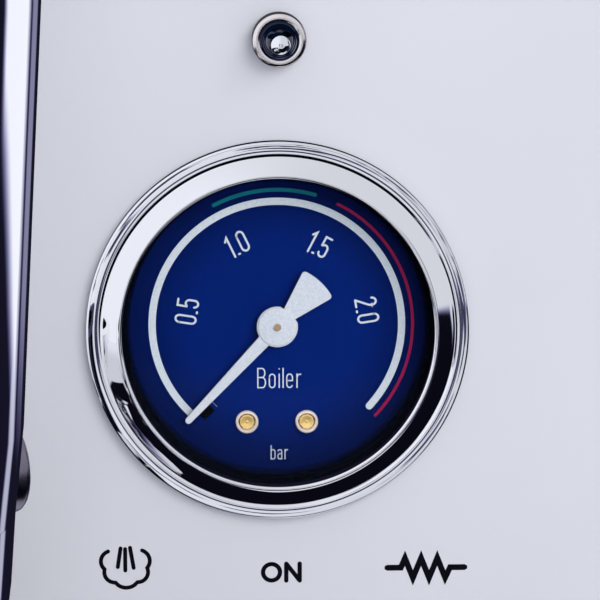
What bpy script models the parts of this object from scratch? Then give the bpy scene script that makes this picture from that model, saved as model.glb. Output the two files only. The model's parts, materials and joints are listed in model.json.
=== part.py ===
"""Home espresso machine with a spring lever group, as an assembly of separate pieces.

Metres, +Z up. The front faces -Y, +X is the user's right. The origin is on the counter, under the middle
of the machine's bounding box. Every piece is one closed solid; a moving piece has its origin on its joint.
"""

import math

import bmesh
import bpy
from mathutils import Matrix, Vector

# ---- Driving dimensions ---------------------------------------------------------------------------
HALF_WIDTH = 0.1498  # outer face of a side panel
SHEET = 0.0015  # stainless sheet
GAP = 0.0003  # clearance between pieces that rest on each other
FOOT_HEIGHT = 0.030
BASE_FRONT_Y = -0.188
PANEL_Y = -0.005  # front face of the front panel
BACK_Y = 0.2435  # outer face of the back panel
BASE_TOP_Z = 0.092  # top of the drip tray's surround
PANEL_LOW_Z = 0.200
BODY_TOP_Z = 0.380

GAUGE_X, GAUGE_Z = 0.075, 0.310  # middle of the pressure gauge
GAUGE_RADIUS = 0.030
TOGGLE_X, TOGGLE_Z = 0.0752, 0.3558
LAMP_Z = 0.2575
LAMP_X = {"steam": 0.051, "on": 0.0755, "heat": 0.0985}

GROUP_Y = -0.083  # axis of the group head
NECK_Z = 0.280
BONNET_TOP_Z = 0.396
CAM_BASE = 0.0135  # pin to cam face with the lever up
CAM_RISE = 0.0145  # metres of lift for each radian of lever travel
LEVER_TRAVEL = math.radians(112)
PIN_Z = BONNET_TOP_Z + CAM_BASE + 0.0004

VALVE_X, VALVE_Z = 0.112, 0.228
WAND_Y, WAND_BALL_Z = -0.022, 0.201

BOILER_Y, BOILER_Z, BOILER_RADIUS = 0.085, 0.285, 0.050

AHEAD = Vector((0, -1, 0))
UP = Vector((0, 0, 1))
RIGHT = Vector((1, 0, 0))

for leftover in list(bpy.data.objects):
    bpy.data.objects.remove(leftover)


# ---- Finishes: colour, roughness, metallic ------------------------------------------------------------
STEEL = ((0.72, 0.73, 0.75), 0.35, 1.0)
CHROME = ((0.85, 0.85, 0.87), 0.06, 1.0)
BRASS = ((0.78, 0.58, 0.30), 0.30, 1.0)
COPPER = ((0.80, 0.45, 0.32), 0.30, 1.0)
BLACK_PLASTIC = ((0.02, 0.02, 0.022), 0.40, 0.0)
RUBBER = ((0.03, 0.03, 0.03), 0.80, 0.0)
WALNUT = ((0.20, 0.09, 0.045), 0.45, 0.0)
GLASS = ((0.90, 0.93, 0.95), 0.03, 0.0)
DIAL_BLUE = ((0.01, 0.02, 0.13), 0.45, 0.0)
POINTER_WHITE = ((0.75, 0.79, 0.82), 0.45, 0.0)
CLEAR_PLASTIC = ((0.70, 0.76, 0.80), 0.20, 0.0)
SPRING_STEEL = ((0.45, 0.45, 0.47), 0.35, 1.0)


def own_material(name, finish):
    colour, roughness, metallic = finish
    material = bpy.data.materials.new(name)
    material.use_nodes = True
    shader = material.node_tree.nodes["Principled BSDF"]
    shader.inputs["Base Color"].default_value = (*colour, 1)
    shader.inputs["Roughness"].default_value = roughness
    shader.inputs["Metallic"].default_value = metallic
    return material


# ---- Ways of making a solid -----------------------------------------------------------------------
def finished(name, bm, finish):
    """Closes the bmesh as one object with its own material, faces pointing out."""
    bmesh.ops.remove_doubles(bm, verts=bm.verts, dist=1e-6)
    bmesh.ops.recalc_face_normals(bm, faces=bm.faces)
    mesh = bpy.data.meshes.new(name)
    bm.to_mesh(mesh)
    bm.free()
    mesh.shade_smooth()
    mesh.set_sharp_from_angle(angle=math.radians(35))
    mesh.materials.append(own_material(name, finish))
    piece = bpy.data.objects.new(name, mesh)
    bpy.context.scene.collection.objects.link(piece)
    return piece


def box(name, low, high, finish=STEEL):
    bm = bmesh.new()
    bmesh.ops.create_cube(bm, size=1)
    low, high = Vector(low), Vector(high)
    bmesh.ops.scale(bm, verts=bm.verts, vec=high - low)
    bmesh.ops.translate(bm, verts=bm.verts, vec=(low + high) / 2)
    return finished(name, bm, finish)


def prism(name, outline, along, low, high, finish=STEEL):
    """An outline drawn in the plane across the axis "X", "Y" or "Z", carried from low to high along it."""
    first, second, third = {"X": (1, 2, 0), "Y": (0, 2, 1), "Z": (0, 1, 2)}[along]
    bm = bmesh.new()
    corners = []
    for a, b in outline:
        corner = Vector((0, 0, 0))
        corner[first], corner[second], corner[third] = a, b, low
        corners.append(bm.verts.new(corner))
    shift = Vector((0, 0, 0))
    shift[third] = high - low
    raised = bmesh.ops.extrude_face_region(bm, geom=[bm.faces.new(corners)])["geom"]
    bmesh.ops.translate(bm, verts=[v for v in raised if isinstance(v, bmesh.types.BMVert)], vec=shift)
    return finished(name, bm, finish)


def turned(name, profile, centre, axis, finish=CHROME, steps=24):
    """A lathe profile of (radius, height along axis). It is a ring unless it starts and ends on the axis."""
    bm = bmesh.new()
    line = [bm.verts.new((radius, 0, height)) for radius, height in profile]
    is_ring = profile[0][0] > 0
    ends = zip(line, line[1:] + line[:1]) if is_ring else zip(line, line[1:])
    edges = [bm.edges.new(pair) for pair in ends]
    bmesh.ops.spin(
        bm, geom=line + edges, cent=(0, 0, 0), axis=(0, 0, 1), angle=math.tau, steps=steps, use_merge=True
    )
    bmesh.ops.remove_doubles(bm, verts=bm.verts, dist=1e-6)
    turn = Vector(axis).to_track_quat("Z", "Y").to_matrix().to_4x4()
    bmesh.ops.transform(bm, matrix=Matrix.Translation(centre) @ turn, verts=bm.verts)
    return finished(name, bm, finish)


def rod(name, centre, axis, radius, low, high, finish=CHROME, steps=20):
    return turned(name, [(0, low), (radius, low), (radius, high), (0, high)], centre, axis, finish, steps)


def bent_rod(name, points, radius, finish=CHROME, resolution=2, closed=False):
    """A round bar along a smooth or polygonal path, made from a bevelled curve."""
    curve = bpy.data.curves.new(name, "CURVE")
    curve.dimensions = "3D"
    curve.bevel_depth = radius
    curve.bevel_resolution = resolution
    curve.use_fill_caps = not closed
    spline = curve.splines.new("POLY")
    spline.points.add(len(points) - 1)
    for point, place in zip(spline.points, points):
        point.co = (*place, 1)
    spline.use_cyclic_u = closed
    guide = bpy.data.objects.new(name + "_path", curve)
    bpy.context.scene.collection.objects.link(guide)
    bm = bmesh.new()
    bm.from_mesh(guide.evaluated_get(bpy.context.evaluated_depsgraph_get()).to_mesh())
    bpy.data.objects.remove(guide)
    return finished(name, bm, finish)


def boolean(piece, tool, operation):
    tool.hide_render = True
    tool.display_type = "WIRE"
    modifier = piece.modifiers.new(operation.title(), "BOOLEAN")
    modifier.operation = operation
    modifier.object = tool
    return piece


def cut(piece, *cutters):
    for cutter in cutters:
        boolean(piece, cutter, "DIFFERENCE")
    return piece


def join(piece, *others):
    for other in others:
        boolean(piece, other, "UNION")
    return piece


def pivot_at(piece, point):
    """Puts a moving piece's origin on its joint without moving the piece."""
    piece.data.transform(Matrix.Translation(-Vector(point)))
    piece.location = point
    return piece


def arc(centre, radius, start, end, steps):
    """Points of a circular arc in a plane, with angles in degrees."""
    angles = [math.radians(start + (end - start) * i / steps) for i in range(steps + 1)]
    return [(centre[0] + radius * math.cos(a), centre[1] + radius * math.sin(a)) for a in angles]


def smooth_path(knots, steps):
    """Catmull-Rom curve through the knots, with the given number of steps between two of them."""
    knots = [Vector(k) for k in knots]
    ends = [2 * knots[0] - knots[1], *knots, 2 * knots[-1] - knots[-2]]
    points = []
    for a, b, c, d in zip(ends, ends[1:], ends[2:], ends[3:]):
        for i in range(steps):
            t = i / steps
            bend = (2 * a - 5 * b + 4 * c - d) * t**2 + (3 * b - a - 3 * c + d) * t**3
            points.append(0.5 * (2 * b + (c - a) * t + bend))
    return points + [knots[-1]]


# ---- Body: chassis, panels, tray ----------------------------------------------------------------------
def chassis():
    """Folded pan that carries everything, standing on four feet."""
    inner = HALF_WIDTH - SHEET - GAP
    plate = 0.0025
    front, back = BASE_FRONT_Y + 0.002, BACK_Y - SHEET - GAP
    lip = FOOT_HEIGHT + 0.012
    section = [
        (-inner, FOOT_HEIGHT),
        (inner, FOOT_HEIGHT),
        (inner, lip),
        (inner - SHEET, lip),
        (inner - SHEET, FOOT_HEIGHT + plate),
        (-inner + SHEET, FOOT_HEIGHT + plate),
        (-inner + SHEET, lip),
        (-inner, lip),
    ]
    prism("base_chassis", section, "Y", front, back)
    for side, x in (("left", -0.120), ("right", 0.120)):
        for end, y in (("front", -0.160), ("back", 0.213)):
            profile = [(0, 0), (0.017, 0), (0.018, 0.003), (0.014, 0.012), (0.013, 0.0297), (0, 0.0297)]
            turned(f"foot_{end}_{side}", profile, (x, y, 0), UP, RUBBER, steps=16)


def side_panels():
    """Full-depth sheets whose front edge sweeps from the tray's surround up to the front panel."""
    sweep = 0.040
    outline = [
        (BACK_Y, FOOT_HEIGHT + 0.003),
        (BASE_FRONT_Y, FOOT_HEIGHT + 0.003),
        (BASE_FRONT_Y, BASE_TOP_Z),
        *arc((PANEL_Y - sweep, BASE_TOP_Z + sweep), sweep, -90, 0, 6),
        (PANEL_Y, BODY_TOP_Z),
        (BACK_Y, BODY_TOP_Z),
    ]
    prism("side_panel_left", outline, "X", -HALF_WIDTH, -HALF_WIDTH + SHEET)
    prism("side_panel_right", outline, "X", HALF_WIDTH - SHEET, HALF_WIDTH)


def front_panel():
    """Upper front sheet with its lower edge folded back, and a hole for each thing mounted on it."""
    inner = HALF_WIDTH - SHEET - GAP
    section = [
        (PANEL_Y, PANEL_LOW_Z),
        (PANEL_Y + 0.0045, PANEL_LOW_Z),
        (PANEL_Y + 0.0045, PANEL_LOW_Z + SHEET),
        (PANEL_Y + SHEET, PANEL_LOW_Z + SHEET),
        (PANEL_Y + SHEET, BODY_TOP_Z - 0.0015),
        (PANEL_Y, BODY_TOP_Z - 0.0015),
    ]
    panel = prism("front_panel", section, "X", -inner, inner)
    holes = [(GAUGE_X, GAUGE_Z, 0.0265, 32), (TOGGLE_X, TOGGLE_Z, 0.0034, 12), (0, NECK_Z, 0.0170, 24)]
    holes += [(x, LAMP_Z, 0.0044, 12) for x in LAMP_X.values()]
    holes += [(side * VALVE_X, VALVE_Z, 0.0095, 16) for side in (-1, 1)]
    holes += [(SIGHT_X, z, 0.0050, 12) for z in SIGHT_FITTINGS_Z]
    for number, (x, z, radius, steps) in enumerate(holes):
        cut(panel, rod(f"panel_hole_{number}", (x, PANEL_Y, z), AHEAD, radius, -0.01, 0.01, steps=steps))


def rear_and_top():
    inner = HALF_WIDTH - SHEET - GAP
    clear = inner - SHEET - GAP
    box("splash_panel", (-clear, 0.0, FOOT_HEIGHT + 0.003), (clear, SHEET, PANEL_LOW_Z - GAP))
    back = box(
        "back_panel", (-inner, BACK_Y - SHEET, FOOT_HEIGHT + 0.003), (inner, BACK_Y, BODY_TOP_Z - 0.0015)
    )
    half = Vector((INLET_HALF_WIDTH, 0, INLET_HALF_HEIGHT))
    reach = Vector((0, 0.01, 0))
    cut(back, box("inlet_hole", INLET - half - reach, INLET + half + reach))
    for row in range(5):
        z = 0.300 + 0.012 * row
        cut(back, box(f"louvre_{row}", (-0.06, BACK_Y - 0.01, z), (0.06, BACK_Y + 0.01, z + 0.004)))

    top_low = BODY_TOP_Z + GAP
    top = box("top_panel", (-HALF_WIDTH, PANEL_Y, top_low), (HALF_WIDTH, BACK_Y, top_low + SHEET))
    cut(top, box("tank_hole", (-0.090, 0.150, 0.37), (0.090, 0.235, 0.39)))
    for column in range(9):
        x = -0.100 + 0.025 * column
        cut(top, box(f"warmer_slot_{column}", (x - 0.002, 0.030, 0.37), (x + 0.002, 0.115, 0.39)))


def cup_rail():
    """Bar around the cup warmer on six short posts."""
    x, front, back, corner = 0.140, 0.006, 0.140, 0.018
    z, radius = 0.402, 0.0035
    corners = [(x - corner, front + corner, -90), (x - corner, back - corner, 0)]
    corners += [(-x + corner, back - corner, 90), (-x + corner, front + corner, 180)]
    loop = [point for cx, cy, turn in corners for point in arc((cx, cy), corner, turn, turn + 90, 4)]
    rail = bent_rod("cup_rail", [(px, py, z) for px, py in loop], radius, resolution=1, closed=True)
    foot = BODY_TOP_Z + GAP + SHEET + GAP
    places = [(side * x, y) for side in (-1, 1) for y in (0.035, 0.110)] + [(0.0, front), (0.0, back)]
    for number, (px, py) in enumerate(places):
        profile = [(0, foot), (0.0045, foot), (0.0045, foot + 0.003), (0.0022, foot + 0.005)]
        profile += [(0.0022, z), (0, z)]
        join(rail, turned(f"rail_post_{number}", profile, (px, py, 0), UP, steps=8))


def drip_tray():
    """Open box that slides out forwards on the chassis, under a slotted grille."""
    wall = 0.0016
    x, front, back, low, high = 0.1440, -0.1860, -0.0030, 0.0328, 0.0860
    tray = box("drip_tray", (-x, front, low), (x, back, high))
    cut(tray, box("tray_hollow", (-x + wall, front + wall, low + wall), (x - wall, back - wall, 0.1)))
    fascia_back = BASE_FRONT_Y - GAP
    fascia_low = (-HALF_WIDTH, fascia_back - 0.0040, 0.0335)
    join(tray, box("tray_fascia", fascia_low, (HALF_WIDTH, fascia_back, 0.0915)))
    join(tray, box("tray_fascia_web", (-0.13, fascia_back - 0.001, 0.045), (0.13, front + 0.001, 0.080)))
    pivot_at(tray, (0, back, low))

    grille = box("drip_grille", (-0.1438, -0.1858, high + GAP), (0.1438, -0.0032, high + 0.0033))
    for column in range(13):
        centre = -0.126 + 0.021 * column
        slot_low = (centre - 0.0045, -0.172, 0.05)
        cut(grille, box(f"grille_slot_{column}", slot_low, (centre + 0.0045, -0.018, 0.1)))
    pivot_at(grille, (0, -0.0945, high + GAP))


# ---- Boiler pressure gauge -----------------------------------------------------------------------------
# Heights are measured forwards from the front panel's face.
GAUGE_FACE = Vector((GAUGE_X, PANEL_Y, GAUGE_Z))
DIAL_FACE = -0.0042
SECTOR_TEETH, PINION_TEETH, GEAR_MODULE = 72, 12, 0.0003
GEAR_CENTRES = (SECTOR_TEETH + PINION_TEETH) / 2 * GEAR_MODULE
GEAR_LOW, GEAR_HIGH = -0.0120, -0.0106
SECTOR_PIVOT = GAUGE_FACE - UP * GEAR_CENTRES
ZERO_ANGLE = math.radians(136.8)  # of the pointer, anticlockwise from twelve o'clock as the user sees it


def clock(angle, radius):
    """A point on the dial: angle clockwise from twelve o'clock, as the user sees it."""
    return radius * math.sin(angle), radius * math.cos(angle)


def gauge_housing():
    bezel = [
        (GAUGE_RADIUS, 0.0003),
        (GAUGE_RADIUS, 0.0016),
        (0.0295, 0.0024),
        (0.0286, 0.0028),
        (0.0277, 0.0029),
        (0.0253, 0.0043),
        (0.0248, 0.0044),
        (0.0245, 0.0041),
        (0.0245, 0.0018),
        (0.0253, 0.0018),
        (0.0253, -0.0025),
        (0.0261, -0.0025),
        (0.0261, 0.0003),
    ]
    turned("gauge_bezel", bezel, GAUGE_FACE, AHEAD, CHROME, steps=30)
    rod("gauge_glass", GAUGE_FACE, AHEAD, 0.0250, 0.0, 0.0015, GLASS, steps=30)
    case = [(0.0249, -0.0003), (0.0249, -0.028), (0.0045, -0.028), (0.0045, -0.027)]
    case += [(0.0239, -0.027), (0.0239, -0.0003)]
    case_piece = turned("gauge_case", case, GAUGE_FACE, AHEAD, STEEL, steps=24)
    cut(case_piece, rod("stem_hole", GAUGE_FACE - UP * 0.013, AHEAD, 0.0062, -0.035, -0.024, steps=16))


def gauge_dial():
    """Printed disc, with a tab punched up as the zero stop and two brass screws into the movement."""
    thick = 0.0005
    low = DIAL_FACE - thick
    profile = [(0.0012, low), (0.0236, low), (0.0236, DIAL_FACE), (0.0012, DIAL_FACE)]
    dial = turned("gauge_dial", profile, GAUGE_FACE, AHEAD, DIAL_BLUE, steps=30)
    at_zero = Matrix.Translation(GAUGE_FACE) @ Matrix.Rotation(-ZERO_ANGLE, 4, "Y")
    window = box("stop_window", (-0.0022, 0.0035, 0.0165), (-0.0006, 0.0060, 0.0191))
    tab = box("stop_tab", (-0.0021, 0.0019, 0.0161), (-0.00075, 0.0046, 0.0165), DIAL_BLUE)
    for piece in (window, tab):
        piece.data.transform(at_zero)
    join(cut(dial, window), tab)
    for side, x in (("left", -0.0048), ("right", 0.0047)):
        place = GAUGE_FACE + Vector((x, 0, -0.0156))
        cut(dial, rod(f"screw_hole_{side}", place, AHEAD, 0.0011, -0.01, 0.0, steps=10))
        head = [(0, -0.0100), (0.0009, -0.0100), (0.0009, -0.0041), (0.0018, -0.0041), (0.0017, -0.0032)]
        head += [(0.0013, -0.0032), (0.0011, -0.0036), (0, -0.0037)]
        turned(f"dial_screw_{side}", head, place, AHEAD, BRASS, steps=12)


def gauge_pointer():
    """Flat needle with a fan-shaped tail, pressed on an arbor that carries the pinion."""
    hub, low, high = 0.00325, -0.0026, -0.0021
    tail_spread, tail_radius = math.radians(20), 0.0099
    outline = [(-0.00050, 0.0206), (0.0, 0.0211), (0.00050, 0.0206), (0.00098, 0.0), (0.00118, -0.0029)]
    outline += [
        (-tail_radius * math.sin(a), -tail_radius * math.cos(a))
        for a in [tail_spread * k / 3 for k in range(-3, 4)]
    ]
    outline += [(-0.00118, -0.0029), (-0.00098, 0.0)]
    needle = prism("gauge_pointer", outline, "Y", -high, -low, POINTER_WHITE)
    turn = Matrix.Rotation(-ZERO_ANGLE, 4, "Y")
    needle.data.transform(Matrix.Translation(GAUGE_FACE) @ turn)
    cap = rod("pointer_cap", GAUGE_FACE, AHEAD, hub, low - 0.0002, high + 0.0004, POINTER_WHITE, steps=20)
    join(needle, cap)
    cut(needle, rod("pointer_bore", GAUGE_FACE, AHEAD, 0.00062, -0.01, 0.01, steps=12))
    pivot_at(needle, GAUGE_FACE)


def gear_outline(teeth, from_tooth, to_tooth, root, tip, phase):
    """Trapezoid teeth, angles clockwise from twelve o'clock; a tooth takes 0.36 of its pitch at the root."""
    pitch = math.tau / teeth
    points = []
    for tooth in range(from_tooth, to_tooth):
        middle = phase + tooth * pitch
        for share, radius in ((-0.18, root), (-0.09, tip), (0.09, tip), (0.18, root)):
            points.append(clock(middle + share * pitch, radius))
    return points


def gauge_movement():
    """Arbor with pinion, toothed sector and the C-shaped Bourdon tube on its brass socket."""
    arbor = rod("pointer_arbor", GAUGE_FACE, AHEAD, 0.00050, -0.0160, -0.0015, BRASS, steps=10)
    pitch_radius = PINION_TEETH * GEAR_MODULE / 2
    teeth = gear_outline(PINION_TEETH, 0, PINION_TEETH, pitch_radius - 0.00038, pitch_radius + 0.00022, 0.0)
    pinion = prism("pinion_teeth", teeth, "Y", -GEAR_HIGH, -GEAR_LOW, BRASS)
    pinion.data.transform(Matrix.Translation(GAUGE_FACE) @ Matrix.Rotation(math.pi, 4, "Y"))
    join(arbor, pinion)
    pivot_at(arbor, GAUGE_FACE)

    sector_radius = SECTOR_TEETH * GEAR_MODULE / 2
    half_pitch = math.pi / SECTOR_TEETH
    first, last = -2, 12
    root, tip = sector_radius - 0.00038, sector_radius + 0.00022
    teeth = gear_outline(SECTOR_TEETH, first, last, root, tip, half_pitch)
    inner = sector_radius - 0.0018
    middle = (first + last) / 2 * math.tau / SECTOR_TEETH
    spread = [0.30, 0.18, -0.18, -0.30]
    web = [clock(middle + spread[0], inner), clock(middle + spread[1], inner)]
    web += [clock(middle + 0.5, 0.0030), clock(middle + 2.2, 0.0022), clock(middle + math.pi, 0.0060)]
    web += [clock(middle - 2.2, 0.0022), clock(middle - 0.5, 0.0030)]
    web += [clock(middle + spread[2], inner), clock(middle + spread[3], inner)]
    sector = prism("sector_gear", teeth + web, "Y", -GEAR_HIGH, -GEAR_LOW, BRASS)
    sector.data.transform(Matrix.Translation(SECTOR_PIVOT))
    cut(sector, rod("sector_bore", SECTOR_PIVOT, AHEAD, 0.0007, -0.02, 0.0, steps=10))
    pivot_at(sector, SECTOR_PIVOT)

    tube_y = PANEL_Y + 0.0190
    ring = [(GAUGE_X + x, tube_y, GAUGE_Z + z) for x, z in arc((0, 0), 0.0190, -95, -340, 18)]
    tube = bent_rod("bourdon_tube", ring, 0.0024, BRASS, resolution=1)
    socket_centre = GAUGE_FACE - UP * 0.0165
    block_low = socket_centre + Vector((-0.006, 0.0145, -0.0055))
    join(tube, box("socket_block", block_low, socket_centre + Vector((0.006, 0.0265, 0.0055)), BRASS))
    join(tube, rod("stem", GAUGE_FACE - UP * 0.0130, AHEAD, 0.0050, -0.0370, -0.0200, BRASS, steps=16))
    join(tube, rod("stem_hexagon", GAUGE_FACE - UP * 0.0130, AHEAD, 0.0075, -0.0340, -0.0290, BRASS, steps=6))


# ---- Toggle switch and pilot lamps ----------------------------------------------------------------------
def toggle_switch():
    face = Vector((TOGGLE_X, PANEL_Y, TOGGLE_Z))
    body_low, body_high = face + Vector((-0.0065, 0.0020, -0.0055)), face + Vector((0.0065, 0.0130, 0.0055))
    body = box("toggle_switch", body_low, body_high, BLACK_PLASTIC)
    join(body, rod("toggle_bush", face, AHEAD, 0.0030, -0.0040, 0.0058, BLACK_PLASTIC, steps=20))
    mouth = [(0, 0.0022), (0.0012, 0.0022), (0.0026, 0.0070), (0, 0.0070)]
    cut(body, turned("toggle_mouth", mouth, face, AHEAD))
    nut = [(0.0031, 0.0003), (0.0046, 0.0003), (0.0046, 0.0024), (0.0040, 0.0040)]
    nut += [(0.0034, 0.0044), (0.0031, 0.0041)]
    turned("toggle_nut", nut, face, AHEAD, CHROME, steps=24)
    bat = [(0, 0.0026), (0.0007, 0.0026), (0.0009, 0.0080), (0.0013, 0.0095), (0.0015, 0.0108)]
    bat += [(0.0012, 0.0120), (0.0006, 0.0126), (0, 0.0127)]
    lever = turned("toggle_lever", bat, face, AHEAD, CHROME, steps=16)
    pivot_at(lever, face + AHEAD * 0.0030)


def pilot_lamps():
    for name, x in LAMP_X.items():
        lamp = [(0, -0.014), (0.0038, -0.014), (0.0040, 0.0003), (0.0048, 0.0003), (0.0048, 0.0012)]
        lamp += [(0.0041, 0.0022), (0.0036, 0.0022), (0.0033, 0.0028), (0.0018, 0.0037), (0, 0.0040)]
        turned(f"pilot_lamp_{name}", lamp, (x, PANEL_Y, LAMP_Z), AHEAD, CHROME, steps=12)


# ---- Sight glass -----------------------------------------------------------------------------------------
SIGHT_X = -0.075
SIGHT_FITTINGS_Z = (0.274, 0.346)
SIGHT_Y = -0.020


def sight_glass():
    """Boiler level glass between two chrome fittings that two guard bars hold together."""
    low, high = SIGHT_FITTINGS_Z
    frame = None
    for number, z in enumerate(SIGHT_FITTINGS_Z):
        profile = [(0, z - 0.007), (0.0085, z - 0.007), (0.0095, z - 0.005), (0.0095, z + 0.005)]
        profile += [(0.0085, z + 0.007), (0, z + 0.007)]
        name = "sight_glass_frame" if frame is None else "upper_fitting"
        fitting = turned(name, profile, (SIGHT_X, SIGHT_Y, 0), UP, CHROME, steps=12)
        stub = rod(f"sight_stub_{number}", (SIGHT_X, PANEL_Y, z), AHEAD, 0.0042, -0.0150, 0.0150, steps=10)
        frame = fitting if frame is None else join(frame, fitting)
        join(frame, stub)
        flange = rod(f"sight_flange_{number}", (SIGHT_X, PANEL_Y, z), AHEAD, 0.0080, GAP, 0.0025, steps=12)
        join(frame, flange)
    for side in (-1, 1):
        centre = (SIGHT_X + side * 0.0070, SIGHT_Y - 0.0030, 0)
        join(frame, rod(f"guard_bar_{side}", centre, UP, 0.0012, low, high, steps=6))
    ring = [(0.0030, low + 0.0073), (0.0042, low + 0.0073), (0.0042, high - 0.0073), (0.0030, high - 0.0073)]
    turned("sight_glass_tube", ring, (SIGHT_X, SIGHT_Y, 0), UP, GLASS, steps=16)


# ---- Group head ------------------------------------------------------------------------------------------
GROUP_AXIS = Vector((0, GROUP_Y, 0))
UNLOCK_ANGLE = math.radians(-50)
BAYONET_LOW, BAYONET_HIGH = 0.2397, 0.2442


def group_casting():
    """Lower casting: piston bore, bayonet bell, and the neck that bolts to the front."""
    profile = [
        (0.0252, 0.2995),
        (0.0379, 0.2995),
        (0.0371, 0.2890),
        (0.0345, 0.2720),
        (0.0350, 0.2640),
        (0.0378, 0.2580),
        (0.0388, 0.2540),
        (0.0388, 0.2380),
        (0.0378, 0.2360),
        (0.0312, 0.2360),
        (0.0312, BAYONET_LOW),
        (0.0343, BAYONET_LOW),
        (0.0343, BAYONET_HIGH),
        (0.0312, BAYONET_HIGH),
        (0.0312, 0.2510),
        (0.0252, 0.2510),
    ]
    body = turned("group_body", profile, GROUP_AXIS, UP, CHROME, steps=24)
    neck_profile = [
        (0, -0.0390),
        (0.0120, -0.0390),
        (0.0120, 0.0003),
        (0.0290, 0.0003),
        (0.0290, 0.0075),
        (0.0200, 0.0100),
        (0.0160, 0.0180),
        (0.0160, 0.0500),
        (0, 0.0500),
    ]
    join(body, turned("group_neck", neck_profile, (0, PANEL_Y, NECK_Z), AHEAD, CHROME, steps=18))
    for side in (0, 1):
        slot_high = (0.0343, 0.0090, BAYONET_LOW + 0.001)
        slot = box(f"bayonet_slot_{side}", (0.0290, -0.0090, 0.2300), slot_high)
        turn = Matrix.Rotation(UNLOCK_ANGLE + side * math.pi, 4, "Z")
        slot.data.transform(Matrix.Translation(GROUP_AXIS) @ turn)
        cut(body, slot)


def group_bonnet():
    """Spring housing that screws on the casting; its flat top carries the lever's cams."""
    profile = [
        (0.0350, 0.2998),
        (0.0382, 0.2998),
        (0.0422, 0.3680),
        (0.0425, 0.3780),
        (0.0416, 0.3870),
        (0.0380, 0.3930),
        (0.0320, BONNET_TOP_Z),
        (0.0076, BONNET_TOP_Z),
        (0.0076, 0.3890),
        (0.0330, 0.3890),
        (0.0360, 0.3850),
    ]
    turned("group_bonnet", profile, GROUP_AXIS, UP, CHROME, steps=24)


def piston_and_spring():
    """Piston on a rod that ends in an eye; the spring pushes it down between its head and the bonnet."""
    head = [(0, 0.2560), (0.0240, 0.2560), (0.0248, 0.2580), (0.0248, 0.2680), (0.0070, 0.2700)]
    head += [(0.0070, PIN_Z - 0.004), (0, PIN_Z - 0.004)]
    piston = turned("piston", head, GROUP_AXIS, UP, BRASS, steps=24)
    pin_centre = Vector((0, GROUP_Y, PIN_Z))
    join(piston, rod("piston_eye", pin_centre, RIGHT, 0.0110, -0.0080, 0.0080, steps=20))
    cut(piston, rod("eye_bore", pin_centre, RIGHT, 0.00425, -0.02, 0.02, steps=20))
    pivot_at(piston, GROUP_AXIS + UP * 0.2560)

    turns, per_turn, wire, radius = 6, 11, 0.0027, 0.0218
    low, high = 0.2680 + 0.0030 + wire, 0.3890 - 0.0003 - wire
    count = turns * per_turn
    coil = [
        (
            radius * math.cos(math.tau * i / per_turn),
            GROUP_Y + radius * math.sin(math.tau * i / per_turn),
            low + (high - low) * i / count,
        )
        for i in range(count + 1)
    ]
    bent_rod("main_spring", coil, wire, SPRING_STEEL, resolution=1)

    pin = [(0, -0.0180), (0.0060, -0.0180), (0.0060, -0.0152), (0.0040, -0.0152), (0.0040, 0.0152)]
    pin += [(0.0060, 0.0152), (0.0060, 0.0180), (0, 0.0180)]
    turned("fork_pin", pin, pin_centre, RIGHT, STEEL, steps=20)


def cam_point(angle):
    """Involute cam edge: its support grows by CAM_RISE for each radian, so the lift follows the lever."""
    support = CAM_BASE + CAM_RISE * angle
    ahead = support * math.sin(angle) + CAM_RISE * math.cos(angle)
    above = -support * math.cos(angle) + CAM_RISE * math.sin(angle)
    return -ahead, above


def brew_lever():
    """Fork with two cam cheeks, one arm and a turned wooden grip, drawn with the lever up."""
    edge = [cam_point(LEVER_TRAVEL * k / 12) for k in range(13)]
    outline = edge + [(-0.0120, 0.0500), (0.0090, 0.0500), (0.0135, 0.0300)]
    outline += arc((0, 0), CAM_BASE, 0, -90, 6)
    outline = [(GROUP_Y + y, PIN_Z + z) for y, z in outline]
    fork = prism("lever_fork", outline, "X", 0.0084, 0.0148, CHROME)
    join(fork, prism("left_cheek", outline, "X", -0.0148, -0.0084, CHROME))
    bridge = [(-0.0260, 0.0330), (-0.0120, 0.0490), (0.0085, 0.0490), (0.0085, 0.0280), (-0.0100, 0.0180)]
    bridge = [(GROUP_Y + y, PIN_Z + z) for y, z in bridge]
    join(fork, prism("fork_bridge", bridge, "X", -0.0146, 0.0146, CHROME))
    arm = [(0, 0.0400), (0.0100, 0.0400), (0.0085, 0.0600), (0.0080, 0.1500), (0, 0.1500)]
    pin_centre = Vector((0, GROUP_Y, PIN_Z))
    join(fork, turned("lever_arm", arm, pin_centre, UP, CHROME, steps=16))
    cut(fork, rod("fork_bore", pin_centre, RIGHT, 0.00425, -0.03, 0.03, steps=20))
    pivot_at(fork, pin_centre)

    grip = [(0, 0.1380), (0.0120, 0.1380), (0.0130, 0.1440), (0.0128, 0.1600), (0.0165, 0.2000)]
    grip += [(0.0175, 0.2200), (0.0150, 0.2380), (0.0080, 0.2450), (0, 0.2455)]
    handle = turned("lever_handle", grip, pin_centre, UP, WALNUT, steps=20)
    cut(handle, rod("grip_bore", pin_centre, UP, 0.0084, 0.13, 0.1510, steps=16))
    pivot_at(handle, pin_centre)


def group_seal():
    ring = [(0.0258, 0.2463), (0.0308, 0.2463), (0.0308, 0.2507), (0.0258, 0.2507)]
    turned("group_gasket", ring, GROUP_AXIS, UP, RUBBER, steps=28)
    rod("shower_screen", GROUP_AXIS, UP, 0.0254, 0.2470, 0.2490, STEEL, steps=28)


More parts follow.
